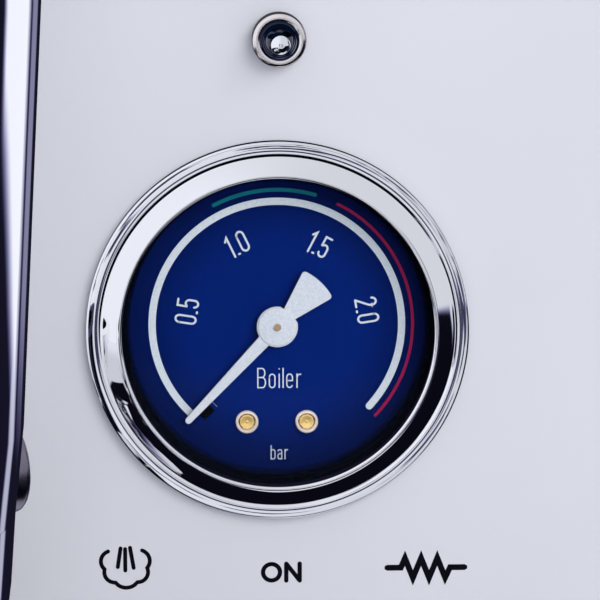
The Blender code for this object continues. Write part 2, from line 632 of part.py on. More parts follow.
# ---- Portafilter -------------------------------------------------------------------------------------------
def portafilter():
    cup = [
        (0.0050, 0.2040),
        (0.0140, 0.2040),
        (0.0280, 0.2080),
        (0.0335, 0.2140),
        (0.0345, 0.2355),
        (0.0306, 0.2356),
        (0.0306, 0.2445),
        (0.0273, 0.2445),
        (0.0273, 0.2140),
        (0.0200, 0.2090),
        (0.0050, 0.2070),
    ]
    head = turned("portafilter_head", cup, GROUP_AXIS, UP, CHROME, steps=24)
    lug_outline = [(0.0290, -0.0075), (0.0333, -0.0065), (0.0333, 0.0065), (0.0290, 0.0075)]
    for side in (0, 1):
        lug = prism(f"lug_{side}", lug_outline, "Z", 0.2402, 0.2436, CHROME)
        lug.data.transform(Matrix.Translation(GROUP_AXIS) @ Matrix.Rotation(side * math.pi, 4, "Z"))
        join(head, lug)
    stem_centre = Vector((0, GROUP_Y, 0.2230))
    stem = [(0, 0.0310), (0.0085, 0.0310), (0.0070, 0.0400), (0.0070, 0.0620), (0.0049, 0.0620)]
    stem += [(0.0049, 0.0800), (0, 0.0800)]
    join(head, turned("head_stem", stem, stem_centre, AHEAD, CHROME, steps=16))
    pivot_at(head, GROUP_AXIS + UP * 0.2230)

    end = 0.245 + GROUP_Y  # the handle's end is the front of the machine's bounding box
    grip = [(0, 0.0623), (0.0095, 0.0623), (0.0110, 0.0660), (0.0115, 0.0850), (0.0150, 0.1150)]
    grip += [(0.0165, 0.1380), (0.0140, 0.1550), (0.0070, end - 0.0006), (0, end)]
    handle = turned("portafilter_handle", grip, stem_centre, AHEAD, WALNUT, steps=20)
    cut(handle, rod("handle_bore", stem_centre, AHEAD, 0.0052, 0.05, 0.0815, steps=16))
    pivot_at(handle, GROUP_AXIS + UP * 0.2230)

    basket = [
        (0, 0.2205),
        (0.0263, 0.2210),
        (0.0268, 0.2448),
        (0.0302, 0.2448),
        (0.0302, 0.2459),
        (0.0260, 0.2459),
        (0.0255, 0.2220),
        (0, 0.2215),
    ]
    turned("filter_basket", basket, GROUP_AXIS, UP, STEEL, steps=28)

    mouth_z = 0.1780
    bend = [(-0.0160, mouth_z), (-0.0158, 0.1840), (-0.0125, 0.1905), (-0.0060, 0.1945), (0.0, 0.1955)]
    route = bend + [(-x, z) for x, z in reversed(bend[:-1])]
    spout = bent_rod("portafilter_spout", [(x, GROUP_Y, z) for x, z in route], 0.0052, CHROME, resolution=2)
    nut = [(0, 0.1940), (0.0090, 0.1940), (0.0100, 0.1960), (0.0100, 0.2037), (0, 0.2037)]
    join(spout, turned("spout_nut", nut, GROUP_AXIS, UP, CHROME, steps=16))
    pivot_at(spout, GROUP_AXIS + UP * 0.2037)


# ---- Steam and hot water taps ------------------------------------------------------------------------------
def taps():
    for side, label in ((1, "steam"), (-1, "water")):
        face = Vector((side * VALVE_X, PANEL_Y, VALVE_Z))
        body = [(0, -0.0230), (0.0085, -0.0230), (0.0085, 0.0003), (0.0170, 0.0003), (0.0170, 0.0025)]
        body += [(0.0120, 0.0045), (0.0110, 0.0300), (0.0040, 0.0310), (0.0040, 0.0430), (0, 0.0430)]
        valve = turned(f"{label}_valve", body, face, AHEAD, CHROME, steps=16)
        socket_centre = Vector((side * VALVE_X, WAND_Y, 0))
        socket = [(0, 0.1955), (0.0100, 0.1955), (0.0106, 0.1975), (0.0106, 0.2280), (0, 0.2280)]
        join(valve, turned(f"{label}_socket", socket, socket_centre, UP, CHROME, steps=16))
        seat = [(0, 0.1900), (0.0069, 0.1900), (0.0069, 0.1972), (0.0083, 0.1990), (0.0083, 0.2104)]
        seat += [(0, 0.2104)]
        cut(valve, turned(f"{label}_seat", seat, socket_centre, UP, CHROME, steps=16))

        knob = [(0, 0.0320), (0.0150, 0.0320), (0.0205, 0.0350), (0.0215, 0.0420), (0.0200, 0.0530)]
        knob += [(0.0150, 0.0560), (0, 0.0565)]
        knob_piece = turned(f"{label}_knob", knob, face, AHEAD, BLACK_PLASTIC, steps=16)
        cut(knob_piece, rod(f"{label}_knob_bore", face, AHEAD, 0.0043, 0.02, 0.0435, steps=12))
        pivot_at(knob_piece, face)

        ball_centre = Vector((side * VALVE_X, WAND_Y, WAND_BALL_Z))
        knots = [
            (0, 0, -0.0030),
            (0, 0, -0.0180),
            (0.0010 * side, -0.0030, -0.0340),
            (0.0050 * side, -0.0150, -0.0580),
            (0.0080 * side, -0.0240, -0.0760),
        ]
        wand_path = [ball_centre + point for point in smooth_path(knots, 4)]
        wand = bent_rod(f"{label}_wand", wand_path, 0.0040, CHROME, resolution=1)
        ball = [(0.0076 * math.sin(a), 0.0076 * -math.cos(a)) for a in [math.pi * k / 6 for k in range(7)]]
        ball[0], ball[-1] = (0, ball[0][1]), (0, ball[-1][1])
        join(wand, turned(f"{label}_ball", ball, ball_centre, UP, CHROME, steps=12))
        tip_axis = (wand_path[-1] - wand_path[-2]).normalized()
        nozzle = [(0, -0.0040), (0.0052, -0.0040), (0.0056, 0.0060), (0.0030, 0.0110), (0, 0.0115)]
        join(wand, turned(f"{label}_nozzle", nozzle, wand_path[-1], tip_axis, CHROME, steps=10))
        pivot_at(wand, ball_centre)


# ---- Water tank --------------------------------------------------------------------------------------------
def water_tank():
    rim_low = BODY_TOP_Z + GAP + SHEET + GAP
    rim_high = rim_low + 0.0020
    tank = box("water_tank", (-0.0860, 0.1540, 0.1500), (0.0860, 0.2320, rim_high), CLEAR_PLASTIC)
    join(tank, box("tank_rim", (-0.0950, 0.1460, rim_low), (0.0950, 0.2390, rim_high), CLEAR_PLASTIC))
    cut(tank, box("tank_hollow", (-0.0840, 0.1560, 0.1520), (0.0840, 0.2300, 0.4000)))
    pivot_at(tank, (0, 0.193, rim_low))
    lid = box("tank_lid", (-0.0950, 0.1460, rim_high + GAP), (0.0950, 0.2390, rim_high + 0.0043), STEEL)
    pivot_at(lid, (0, 0.2395, rim_high + GAP))


# ---- Inside the body ---------------------------------------------------------------------------------------
INLET = Vector((-0.100, BACK_Y, 0.075))
INLET_HALF_WIDTH, INLET_HALF_HEIGHT = 0.0142, 0.0102


def boiler():
    centre = (0, BOILER_Y, BOILER_Z)
    shell = [
        (0, -0.0950),
        (0.0300, -0.0920),
        (0.0460, -0.0860),
        (BOILER_RADIUS, -0.0780),
        (BOILER_RADIUS, 0.0900),
        (0.0250, 0.0900),
        (0.0250, 0.0870),
        (0.0475, 0.0870),
        (0.0475, -0.0770),
        (0.0280, -0.0890),
        (0, -0.0915),
    ]
    turned("boiler", shell, centre, RIGHT, COPPER, steps=24)
    flange = rod("heating_element", centre, RIGHT, 0.0330, 0.0903, 0.0950, BRASS, steps=24)
    bend = [(BOILER_Y + y, x) for y, x in arc((0, 0), 0.0140, 180, 360, 6)]
    loop = [(0.0920, bend[0][0]), (-0.0500, bend[0][0])]
    loop += [(-0.0500 + x, y) for y, x in bend[1:-1]]
    loop += [(-0.0500, bend[-1][0]), (0.0920, bend[-1][0])]
    join(flange, bent_rod("element_loop", [(x, y, BOILER_Z - 0.012) for x, y in loop], 0.0038, resolution=1))
    terminal_centre = (0, BOILER_Y, BOILER_Z + 0.012)
    join(flange, rod("element_terminal", terminal_centre, RIGHT, 0.0040, 0.0940, 0.1080, steps=8))

    top = BOILER_Z + BOILER_RADIUS + GAP
    valve = [(0, top), (0.0060, top), (0.0060, top + 0.006), (0.0095, top + 0.008), (0.0095, top + 0.018)]
    valve += [(0.0060, top + 0.022), (0.0060, top + 0.036), (0, top + 0.038)]
    turned("safety_valve", valve, (0.030, BOILER_Y, 0), UP, BRASS, steps=16)
    stat_low, stat_high = (-0.0700, BOILER_Y - 0.018, top + 0.012), (-0.0300, BOILER_Y + 0.018, top + 0.040)
    stat = box("pressurestat", stat_low, stat_high, BLACK_PLASTIC)
    join(stat, rod("pressurestat_stem", (-0.050, BOILER_Y, 0), UP, 0.0060, top, top + 0.014, BRASS, steps=12))


def electrics_and_pump():
    pump = [(0, -0.055), (0.0060, -0.055), (0.0060, -0.040), (0.0200, -0.038), (0.0200, 0.030)]
    pump += [(0.0120, 0.032), (0.0120, 0.050), (0.0050, 0.052), (0.0050, 0.064), (0, 0.064)]
    pan_top = FOOT_HEIGHT + 0.0028
    pump_piece = turned("pump", pump, (-0.060, 0.100, 0.072), RIGHT, BLACK_PLASTIC, steps=16)
    join(pump_piece, box("pump_cradle", (-0.090, 0.084, pan_top), (-0.040, 0.116, 0.062), BLACK_PLASTIC))
    box("control_box", (0.030, 0.060, pan_top), (0.130, 0.130, pan_top + 0.045), BLACK_PLASTIC)
    half = Vector((INLET_HALF_WIDTH - GAP, 0, INLET_HALF_HEIGHT - GAP))
    inlet_low = INLET - half - Vector((0, 0.0245, 0))
    inlet = box("power_inlet", inlet_low, INLET + half + Vector((0, 0.0010, 0)), BLACK_PLASTIC)
    ears = [(-0.025, 0), (-0.017, -0.0125), (0.017, -0.0125), (0.025, 0), (0.017, 0.0125), (-0.017, 0.0125)]
    flange_outline = [(INLET.x + x, INLET.z + z) for x, z in ears]
    join(inlet, prism("inlet_flange", flange_outline, "Y", BACK_Y + GAP, 0.2450, BLACK_PLASTIC))
    recess_half = Vector((0.0120, 0, 0.0080))
    recess_low = INLET - recess_half - Vector((0, 0.0145, 0))
    cut(inlet, box("inlet_recess", recess_low, INLET + recess_half + Vector((0, 0.0065, 0))))


chassis()
side_panels()
front_panel()
rear_and_top()
cup_rail()
drip_tray()
gauge_housing()
gauge_dial()
gauge_pointer()
gauge_movement()
toggle_switch()
pilot_lamps()
sight_glass()
group_casting()
group_bonnet()
piston_and_spring()
brew_lever()
group_seal()
portafilter()
taps()
water_tank()
boiler()
electrics_and_pump()
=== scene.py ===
"""Home espresso machine with a spring lever group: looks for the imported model."""

import json
import math

import bmesh
import bpy
from mathutils import Matrix, Vector

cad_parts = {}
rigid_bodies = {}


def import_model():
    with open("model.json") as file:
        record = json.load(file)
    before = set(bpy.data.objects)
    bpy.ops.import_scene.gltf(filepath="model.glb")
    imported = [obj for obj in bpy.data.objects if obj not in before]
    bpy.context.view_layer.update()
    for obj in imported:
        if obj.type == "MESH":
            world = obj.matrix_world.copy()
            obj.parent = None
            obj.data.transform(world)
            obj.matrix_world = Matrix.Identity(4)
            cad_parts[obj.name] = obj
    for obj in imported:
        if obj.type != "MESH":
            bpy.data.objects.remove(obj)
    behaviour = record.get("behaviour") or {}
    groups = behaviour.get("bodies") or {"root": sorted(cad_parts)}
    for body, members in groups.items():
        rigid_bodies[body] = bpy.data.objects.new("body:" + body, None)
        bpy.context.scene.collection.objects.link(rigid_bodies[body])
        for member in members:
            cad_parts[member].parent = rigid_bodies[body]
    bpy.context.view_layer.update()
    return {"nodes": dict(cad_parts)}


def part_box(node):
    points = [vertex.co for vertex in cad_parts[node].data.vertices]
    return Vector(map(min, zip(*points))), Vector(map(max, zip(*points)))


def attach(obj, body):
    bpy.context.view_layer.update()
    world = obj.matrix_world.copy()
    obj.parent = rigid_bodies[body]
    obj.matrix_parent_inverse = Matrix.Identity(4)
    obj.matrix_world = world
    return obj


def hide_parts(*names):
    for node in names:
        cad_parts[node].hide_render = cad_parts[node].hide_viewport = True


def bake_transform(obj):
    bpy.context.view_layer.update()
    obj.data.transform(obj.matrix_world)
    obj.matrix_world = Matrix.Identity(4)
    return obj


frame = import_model()
nodes = frame["nodes"]

AHEAD = Vector((0, -1, 0))
UP = Vector((0, 0, 1))
RIGHT = Vector((1, 0, 0))

# ---- Camera and studio ---------------------------------------------------------------------------
# A long lens half a metre in front of the gauge looks slightly down on it. The room is a bright studio
# above and beside the machine with a dark bench below, and the machine stands on a wide pale floor.
PANEL_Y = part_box("front_panel")[0].y


def on_panel(node):
    """The middle of a node's box, brought to the front panel's face."""
    low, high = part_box(node)
    return Vector(((low.x + high.x) / 2, PANEL_Y, (low.z + high.z) / 2))


GAUGE_FACE = on_panel("gauge_bezel")
VIEW_CENTRE = GAUGE_FACE + Vector((0.0035, 0, 0.0047))
VIEW_DISTANCE, VIEW_TURN, VIEW_HEIGHT = 0.5, math.radians(-2), math.radians(10)
LENS, SENSOR = 191.1, 36

camera_data = bpy.data.cameras.new("camera")
camera_data.lens = LENS
camera_data.sensor_width = SENSOR
camera_data.clip_start = 0.01
camera = bpy.data.objects.new("camera", camera_data)
bpy.context.scene.collection.objects.link(camera)
towards = Vector(
    (
        math.sin(VIEW_TURN) * math.cos(VIEW_HEIGHT),
        -math.cos(VIEW_TURN) * math.cos(VIEW_HEIGHT),
        math.sin(VIEW_HEIGHT),
    )
)
camera.location = VIEW_CENTRE + VIEW_DISTANCE * towards
camera.rotation_euler = (-towards).to_track_quat("-Z", "Y").to_euler()
bpy.context.scene.camera = camera
bpy.context.scene.view_settings.view_transform = "Standard"


class Signal:
    """A shader socket that takes part in Python sums; any other node comes from its node method."""

    def __init__(self, tree, socket=None):
        self.tree = tree
        self.socket = socket

    def node(self, kind, settings=None, sockets=None, output=0):
        made = self.tree.nodes.new("ShaderNode" + kind)
        for name, value in (settings or {}).items():
            if name == "stops":
                ramp = made.color_ramp
                while len(ramp.elements) < len(value):
                    ramp.elements.new(1)
                for element, (place, colour) in zip(ramp.elements, value):
                    element.position = place
                    element.color = (*colour, 1)
            else:
                setattr(made, name, value)
        for name, value in (sockets or {}).items():
            socket = made.inputs[name]
            if isinstance(value, Signal):
                self.tree.links.new(value.socket, socket)
            elif isinstance(value, tuple) and socket.type == "RGBA":
                socket.default_value = (*value, 1)
            else:
                socket.default_value = value
        return Signal(self.tree, made.outputs[output])

    def sum(self, operation, *values):
        return self.node("Math", {"operation": operation}, dict(enumerate(values)))

    def __add__(self, other):
        return self.sum("ADD", self, other)

    __radd__ = __add__

    def __sub__(self, other):
        return self.sum("SUBTRACT", self, other)

    def __rsub__(self, other):
        return self.sum("SUBTRACT", other, self)

    def __mul__(self, other):
        return self.sum("MULTIPLY", self, other)

    __rmul__ = __mul__

    def ramp(self, low, high):
        """0 below low and 1 above high, with a smooth step between them."""
        sockets = {"Value": self, "From Min": low, "From Max": high}
        return self.node("MapRange", {"interpolation_type": "SMOOTHSTEP"}, sockets)

    def band(self, low, low_full, high_full, high):
        """1 between two soft edges, and 0 outside them."""
        return self.ramp(low, low_full) * (1 - self.ramp(high_full, high))

    def tint(self, dark, light):
        """The colour dark where this is 0, and light where it is 1."""
        return self.node("Mix", {"data_type": "RGBA"}, {0: self, 6: dark, 7: light}, output=2)

    def noise(self, scale, detail, **sockets):
        """Cloudy noise that follows this vector."""
        return self.node("TexNoise", {}, {"Vector": self, "Scale": scale, "Detail": detail, **sockets})

    def times(self, factors):
        """This vector with each component multiplied by its own factor."""
        return self.node("VectorMath", {"operation": "MULTIPLY"}, {0: self, 1: tuple(factors)})

    def bump(self, strength, distance):
        """The normal of a surface that this signal raises."""
        return self.node("Bump", {}, {"Height": self, "Strength": strength, "Distance": distance})

    def part(self, axis):
        """One component of a vector: 0, 1 or 2."""
        return self.node("SeparateXYZ", {}, {0: self}, output=axis)


world = bpy.data.worlds.new("studio")
bpy.context.scene.world = world
world.use_nodes = True
studio = Signal(world.node_tree)
heading = studio.node("TexCoord")
across, depth, rise = heading.part(0), heading.part(1), heading.part(2)
# The bench hides everything below a line that drops towards the left, but the floor in front is lit.
BENCH_SLOPE = 0.157
above_bench = (rise - across * BENCH_SLOPE).ramp(-0.235, -0.175)
lit_front = (rise * 0.35 - depth).ramp(0.59, 0.65)
open_room = above_bench.sum("MAXIMUM", above_bench, lit_front)
# Behind the machine, to the right, stand dark screens with two bright gaps and a tall window. Their
# edges are bearings in degrees, from straight behind towards the right.
GAP_GLOW, HIGH_GAP_GLOW = 0.75, 0.45
bearing = across.sum("ARCTAN2", across, depth) * (180 / math.pi)
screens = bearing.band(-22, -16, 74, 80)
window_foot = (rise + (bearing - 27) * -0.004).ramp(-0.275, -0.225)
window = bearing.band(26, 29, 48, 52) * window_foot * (1 - rise.ramp(0.25, 0.35))
high_gap = bearing.band(12, 15, 21, 24) * rise.ramp(-0.26, -0.18) * HIGH_GAP_GLOW
gaps = bearing.band(24, 27, 31, 34) * GAP_GLOW + high_gap
gaps = gaps.sum("MAXIMUM", gaps, window)
dark_behind = screens * (1 - gaps) * rise.band(-0.75, -0.6, 0.3, 0.5)
# A few dark gaps between the soft boxes give the polished edges something to show.
PATCH_SCALE, PATCH_DEPTH = 5.6, 0.9
patches = heading.times((1.0, 0.35, 1.6)).noise(PATCH_SCALE, 4.0).ramp(0.505, 0.55)
patches = patches * (0 - depth).ramp(0.86, 0.92)
open_room = open_room.sum("MAXIMUM", open_room, screens) * (1 - dark_behind) * (1 - patches * PATCH_DEPTH)
# The room is brighter towards the left, and what is dark in it is a deep blue and not quite black.
ROOM_LEVEL, LEFT_LIFT, DARK_LEVEL, SCREEN_LIFT, WINDOW_LIFT = 0.77, 0.22, 0.007, 0.012, 0.3
brighter_left = (0 - across).ramp(-0.35, 0.6)
brightness = open_room * (ROOM_LEVEL + brighter_left * LEFT_LIFT) + DARK_LEVEL
brightness = brightness + dark_behind * SCREEN_LIFT + window * WINDOW_LIFT
room_colour = open_room.tint((0.42, 0.40, 1.0), (0.905, 0.925, 1.0))
for_camera = studio.node("LightPath")
glow = studio.node("Background", {}, {"Color": room_colour, "Strength": brightness})
backdrop = studio.node("Background", {}, {"Color": (0.86, 0.87, 0.89), "Strength": 1.0})
shown = studio.node("MixShader", {}, {0: for_camera, 1: glow, 2: backdrop})
world.node_tree.links.new(shown.socket, world.node_tree.nodes["World Output"].inputs["Surface"])

LAMP_SIZE, LAMP_AIM = 2.4, Vector((0, 0, 0.25))


def soft_light(name, place, watts, colour):
    """A square soft box, aimed at the machine, that the polished parts do not show."""
    lamp = bpy.data.lights.new(name, "AREA")
    lamp.size = LAMP_SIZE
    lamp.energy = watts
    lamp.color = colour
    holder = bpy.data.objects.new(name, lamp)
    holder.location = place
    holder.rotation_euler = (LAMP_AIM - Vector(place)).to_track_quat("-Z", "Y").to_euler()
    bpy.context.scene.collection.objects.link(holder)
    holder.visible_glossy = False


soft_light("key_light", (2.0, -4.2, 2.2), 168, (1, 0.99, 0.97))
soft_light("fill_light", (0.6, -4.6, 0.9), 68, (0.93, 0.96, 1))


def new_finish(name, colour, roughness, **sockets):
    """A new material, metallic by default. Its shader's sockets are named with _ for a space."""
    material = bpy.data.materials.new(name)
    material.use_nodes = True
    values = {"Base Color": (*colour, 1), "Roughness": roughness, "Metallic": 1}
    values.update((socket.replace("_", " "), value) for socket, value in sockets.items())
    for socket, value in values.items():
        material.node_tree.nodes["Principled BSDF"].inputs[socket].default_value = value
    return material


FLOOR_SIZE = 8
floor_mesh = bmesh.new()
bmesh.ops.create_grid(floor_mesh, x_segments=1, y_segments=1, size=FLOOR_SIZE)
floor_data = bpy.data.meshes.new("floor")
floor_mesh.to_mesh(floor_data)
floor_mesh.free()
floor = bpy.data.objects.new("floor", floor_data)
bpy.context.scene.collection.objects.link(floor)
floor_data.materials.append(new_finish("floor_paint", (0.80, 0.81, 0.83), 0.7, Metallic=0))
floor.visible_glossy = False

# ---- Sheet steel body ----------------------------------------------------------------------------
# The chassis pan and the panels are 1.5 mm stainless sheet with a fine bead-blasted face: a soft, even
# grey with hardly any grain. The folded and cut edges are left as the CAD has them.


def object_place(material):
    """The signal of a surface's own place, in metres, from which every finish's pattern starts."""
    return Signal(material.node_tree).node("TexCoord", output=3)


def feed(material, **signals):
    """Links signals to a finish's shader, whose sockets are named with _ for a space."""
    shader = material.node_tree.nodes["Principled BSDF"]
    for socket, signal in signals.items():
        material.node_tree.links.new(signal.socket, shader.inputs[socket.replace("_", " ")])
    return material


def dress(finish, *names):
    """Gives CAD nodes a finish and keeps their shape."""
    for node in names:
        nodes[node].data.materials.clear()
        nodes[node].data.materials.append(finish)


def satin_steel(name):
    """Bead-blasted stainless, with a faint cloudiness."""
    material = new_finish(name, (0.57, 0.58, 0.625), 0.42, Metallic=0.25)
    place = object_place(material)
    grain, cloud = place.noise(900.0, 2.0), place.noise(14.0, 3.0)
    colour = cloud.ramp(0.3, 0.7).tint((0.564, 0.568, 0.611), (0.588, 0.592, 0.633))
    rough = 0.54 + grain * 0.05 - cloud * 0.03
    return feed(material, Base_Color=colour, Roughness=rough, Normal=grain.bump(0.08, 0.0001))


SHEET_NODES = (
    "base_chassis",
    "side_panel_left",
    "side_panel_right",
    "front_panel",
    "splash_panel",
    "back_panel",
    "top_panel",
    "tank_lid",
)
sheet_steel = satin_steel("sheet_steel")
dress(sheet_steel, *SHEET_NODES)

# ---- Gauge case, bezel and glass -----------------------------------------------------------------
# The boiler gauge is a steel cup behind the panel, a glass disc, and a heavy chromed ring in front. The
# ring is turned brass: a rounded flange, a fine groove, a broad cone and a thin lip over the glass.


def chrome_plate(name):
    """Bright plating with a little haze where it has been wiped."""
    material = new_finish(name, (0.90, 0.905, 0.92), 0.035)
    haze = object_place(material).noise(60.0, 4.0).ramp(0.4, 0.8)
    return feed(material, Roughness=0.02 + haze * 0.04)


chrome = chrome_plate("chrome")


def lathe(profile, centre, axis, steps=96):
    """A bmesh spun from (radius, height along the axis). It is a ring unless it starts on the axis."""
    bm = bmesh.new()
    line = [bm.verts.new((radius, 0, height)) for radius, height in profile]
    pairs = zip(line, line[1:] + line[:1]) if profile[0][0] > 0 else zip(line, line[1:])
    edges = [bm.edges.new(pair) for pair in pairs]
    bmesh.ops.spin(
        bm, geom=line + edges, cent=(0, 0, 0), axis=(0, 0, 1), angle=math.tau, steps=steps, use_merge=True
    )
    bmesh.ops.remove_doubles(bm, verts=bm.verts, dist=1e-6)
    turn = Vector(axis).to_track_quat("Z", "Y").to_matrix().to_4x4()
    bmesh.ops.transform(bm, matrix=Matrix.Translation(centre) @ turn, verts=bm.verts)
    return bm


def soften(bm, width, segments=2, angle=30):
    """Rounds every edge that turns by more than the angle."""
    bmesh.ops.recalc_face_normals(bm, faces=bm.faces)
    sharp = [e for e in bm.edges if len(e.link_faces) == 2 and e.calc_face_angle() > math.radians(angle)]
    bmesh.ops.bevel(
        bm,
        geom=sharp,
        offset=width,
        offset_type="OFFSET",
        segments=segments,
        profile=0.5,
        affect="EDGES",
        material=-1,
        clamp_overlap=True,
    )
    return bm


SHARP_ANGLE = math.radians(40)


def piece(name, bm, finish, body, stands_for=()):
    """Turns a bmesh into a piece of the machine. It rides on a body, unless that is None."""
    bmesh.ops.recalc_face_normals(bm, faces=bm.faces)
    mesh = bpy.data.meshes.new(name)
    bm.to_mesh(mesh)
    bm.free()
    mesh.shade_smooth()
    mesh.set_sharp_from_angle(angle=SHARP_ANGLE)
    mesh.materials.append(finish)
    made = bpy.data.objects.new(name, mesh)
    bpy.context.scene.collection.objects.link(made)
    made.modifiers.new("Normals", "WEIGHTED_NORMAL").keep_sharp = True
    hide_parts(*stands_for)
    if body:
        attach(made, body)
    return made


def fillet(centre, radius, start, end, steps=6):
    """Points of an arc in the profile's own plane, with angles in degrees."""
    turns = [math.radians(start + (end - start) * i / steps) for i in range(steps + 1)]
    return [(centre[0] + radius * math.cos(a), centre[1] + radius * math.sin(a)) for a in turns]


bezel_profile = [
    (0.0300, 0.0003),
    (0.0300, 0.0019),
    *fillet((0.0294, 0.0021), 0.0006, 0, 60, 5),
    *fillet((0.0287, -0.0018), 0.0047, 78, 97, 10),
    (0.02787, 0.00266),
    (0.02772, 0.00262),
    *fillet((0.03022, 0.0106), 0.0083, 252, 232, 10),
    *fillet((0.02482, 0.0040), 0.00035, 55, 180, 8),
    (0.0245, 0.0018),
    (0.0253, 0.0018),
    (0.0253, -0.0025),
    (0.0261, -0.0025),
    (0.0261, 0.0003),
]
bezel_mesh = lathe(bezel_profile, GAUGE_FACE, AHEAD, steps=192)
piece("bezel_ring", bezel_mesh, chrome, "machine", ["gauge_bezel"])

glass = new_finish("gauge_glass_clear", (0.02, 0.025, 0.03), 0.02, Metallic=0, IOR=1.45, Alpha=0.03)
glass_low, glass_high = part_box("gauge_glass")
glass_disc = [
    (0, PANEL_Y - glass_high.y),
    (0.0250, PANEL_Y - glass_high.y),
    (0.0250, PANEL_Y - glass_low.y),
    (0, PANEL_Y - glass_low.y),
]
piece("glass_disc", lathe(glass_disc, GAUGE_FACE, AHEAD), glass, "machine", ["gauge_glass"])

case_profile = [
    (0.0249, -0.0003),
    (0.0249, -0.0272),
    *fillet((0.0241, -0.0272), 0.0008, 0, -90, 4),
    (0.0045, -0.0280),
    (0.0045, -0.0270),
    (0.0239, -0.0270),
    (0.0239, -0.0003),
]
piece("case_cup", lathe(case_profile, GAUGE_FACE, AHEAD), sheet_steel, "machine", ["gauge_case"])


def shaded_wall(name):
    """Painted shade: deep navy where the wall meets the dial, fading to black under the glass."""
    material = new_finish(name, (0.001, 0.002, 0.01), 1.0, Metallic=0, Specular_IOR_Level=0.0)
    depth_in = object_place(material).part(1).ramp(PANEL_Y + 0.0004, PANEL_Y + 0.0046)
    return feed(material, Base_Color=depth_in.tint((0.0003, 0.0006, 0.003), (0.0006, 0.006, 0.06)))


# The dark spacer ring hides the dial's polygon rim; its near-black is painted shade, the lip's shadow.
spacer_painted_shade = shaded_wall("spacer_painted_shade")
spacer_profile = [
    (0.02330, -0.0041),
    (0.0237, -0.0041),
    (0.0237, -0.00028),
    (0.0249, -0.00028),
    (0.0249, -0.00005),
    (0.0243, -0.00005),
    (0.02350, -0.0020),
]
piece("dial_spacer", lathe(spacer_profile, GAUGE_FACE, AHEAD, 128), spacer_painted_shade, "machine")

# ---- Dial ----------------------------------------------------------------------------------------
# A thin aluminium disc, screen printed navy, with painted shade darkening it towards the rim. The zero
# stop is a tab punched up out of it, which leaves a small dark window beside the pointer's tip.


def navy_print_rim_shade(name):
    """Flat navy ink on the dial, with painted shade darkening it towards its rim."""
    material = new_finish(name, (0.004, 0.012, 0.13), 0.5, Metallic=0, Specular_IOR_Level=0.0)
    place = object_place(material)
    centred = place.node("VectorMath", {"operation": "SUBTRACT"}, {0: place, 1: tuple(GAUGE_FACE)})
    radius = place.node("VectorMath", {"operation": "LENGTH"}, {0: centred.times((1, 0, 1))}, output=1)
    # Painted shade: the navy darkens towards the rim, where the bezel's lip shades the dial.
    even = radius.ramp(0.012, 0.0236).tint((0.0009, 0.0122, 0.128), (0.0006, 0.0052, 0.054))
    speckle = place.noise(1500.0, 2.0) * 0.16
    return feed(material, Base_Color=speckle.tint(even, (0.0005, 0.006, 0.07)))


dress(navy_print_rim_shade("dial_navy_rim_shade"), "gauge_dial")
DIAL_MIDDLE = Vector((GAUGE_FACE.x, PANEL_Y + 0.0042, GAUGE_FACE.z))

# ---- Dial prints ---------------------------------------------------------------------------------
# White scale arc, two coloured zones, the figures and the two words are ink laid on the dial. Each is a
# thin raised film, drawn as strokes with round ends.
INK_THICKNESS = 0.00003


def ink(name, colour, roughness=0.5):
    """Opaque printing ink with slightly worn patches."""
    material = new_finish(name, colour, roughness, Metallic=0, Specular_IOR_Level=0.08)
    worn = object_place(material).noise(2500.0, 2.0).ramp(0.25, 0.75)
    return feed(material, Base_Color=worn.tint(tuple(c * 0.86 for c in colour), colour))


def thicken(bm, faces, shift):
    """Extrudes flat faces of a bmesh into a solid."""
    raised = bmesh.ops.extrude_face_region(bm, geom=faces)["geom"]
    lifted = [v for v in raised if isinstance(v, bmesh.types.BMVert)]
    bmesh.ops.translate(bm, verts=lifted, vec=shift)


def stroke(bm, points, width, thickness=INK_THICKNESS, ends=5):
    """Adds a flat line of ink through points (x across, y up) to a bmesh that lies in the XY plane."""
    points = [Vector((x, y, 0)) for x, y in points]
    left, right = [], []
    for i, point in enumerate(points):
        before = points[max(i - 1, 0)]
        after = points[min(i + 1, len(points) - 1)]
        into = (point - before).normalized() if i else (after - point).normalized()
        out = (after - point).normalized() if i < len(points) - 1 else into
        middle = (into + out).normalized()
        side = Vector((-middle.y, middle.x, 0)) / max(middle.dot(into), 0.35) * width / 2
        left.append(point + side)
        right.append(point - side)

    def round_end(centre, edge):
        turns = [Matrix.Rotation(-math.pi * k / (ends + 1), 3, "Z") for k in range(ends, 0, -1)]
        return [bm.verts.new(centre + turn @ (edge - centre)) for turn in turns]

    tops = [bm.verts.new(p) for p in left]
    bottoms = [bm.verts.new(p) for p in right]
    faces = []
    for i in range(len(points) - 1):
        faces.append(bm.faces.new((bottoms[i], bottoms[i + 1], tops[i + 1], tops[i])))
    faces.append(bm.faces.new([bottoms[-1], *round_end(points[-1], left[-1]), tops[-1]]))
    faces.append(bm.faces.new([tops[0], *round_end(points[0], right[0]), bottoms[0]]))
    thicken(bm, faces, (0, 0, thickness))


def bow(centre, radius, start, end, steps=12, squash=1.0):
    """Points of an arc for a letter. Angles are in degrees anticlockwise from the right."""
    turns = [math.radians(start + (end - start) * i / steps) for i in range(steps + 1)]
    return [(centre[0] + radius * math.cos(a), centre[1] + radius * squash * math.sin(a)) for a in turns]


def loop(x, radius, top, bottom):
    """A narrow closed letter shape: two half circles joined by straight sides."""
    over = bow((x, top - radius), radius, 180, 0)
    under = bow((x, bottom + radius), radius, 0, -180)
    return over + under + [(x - radius, top - radius)]


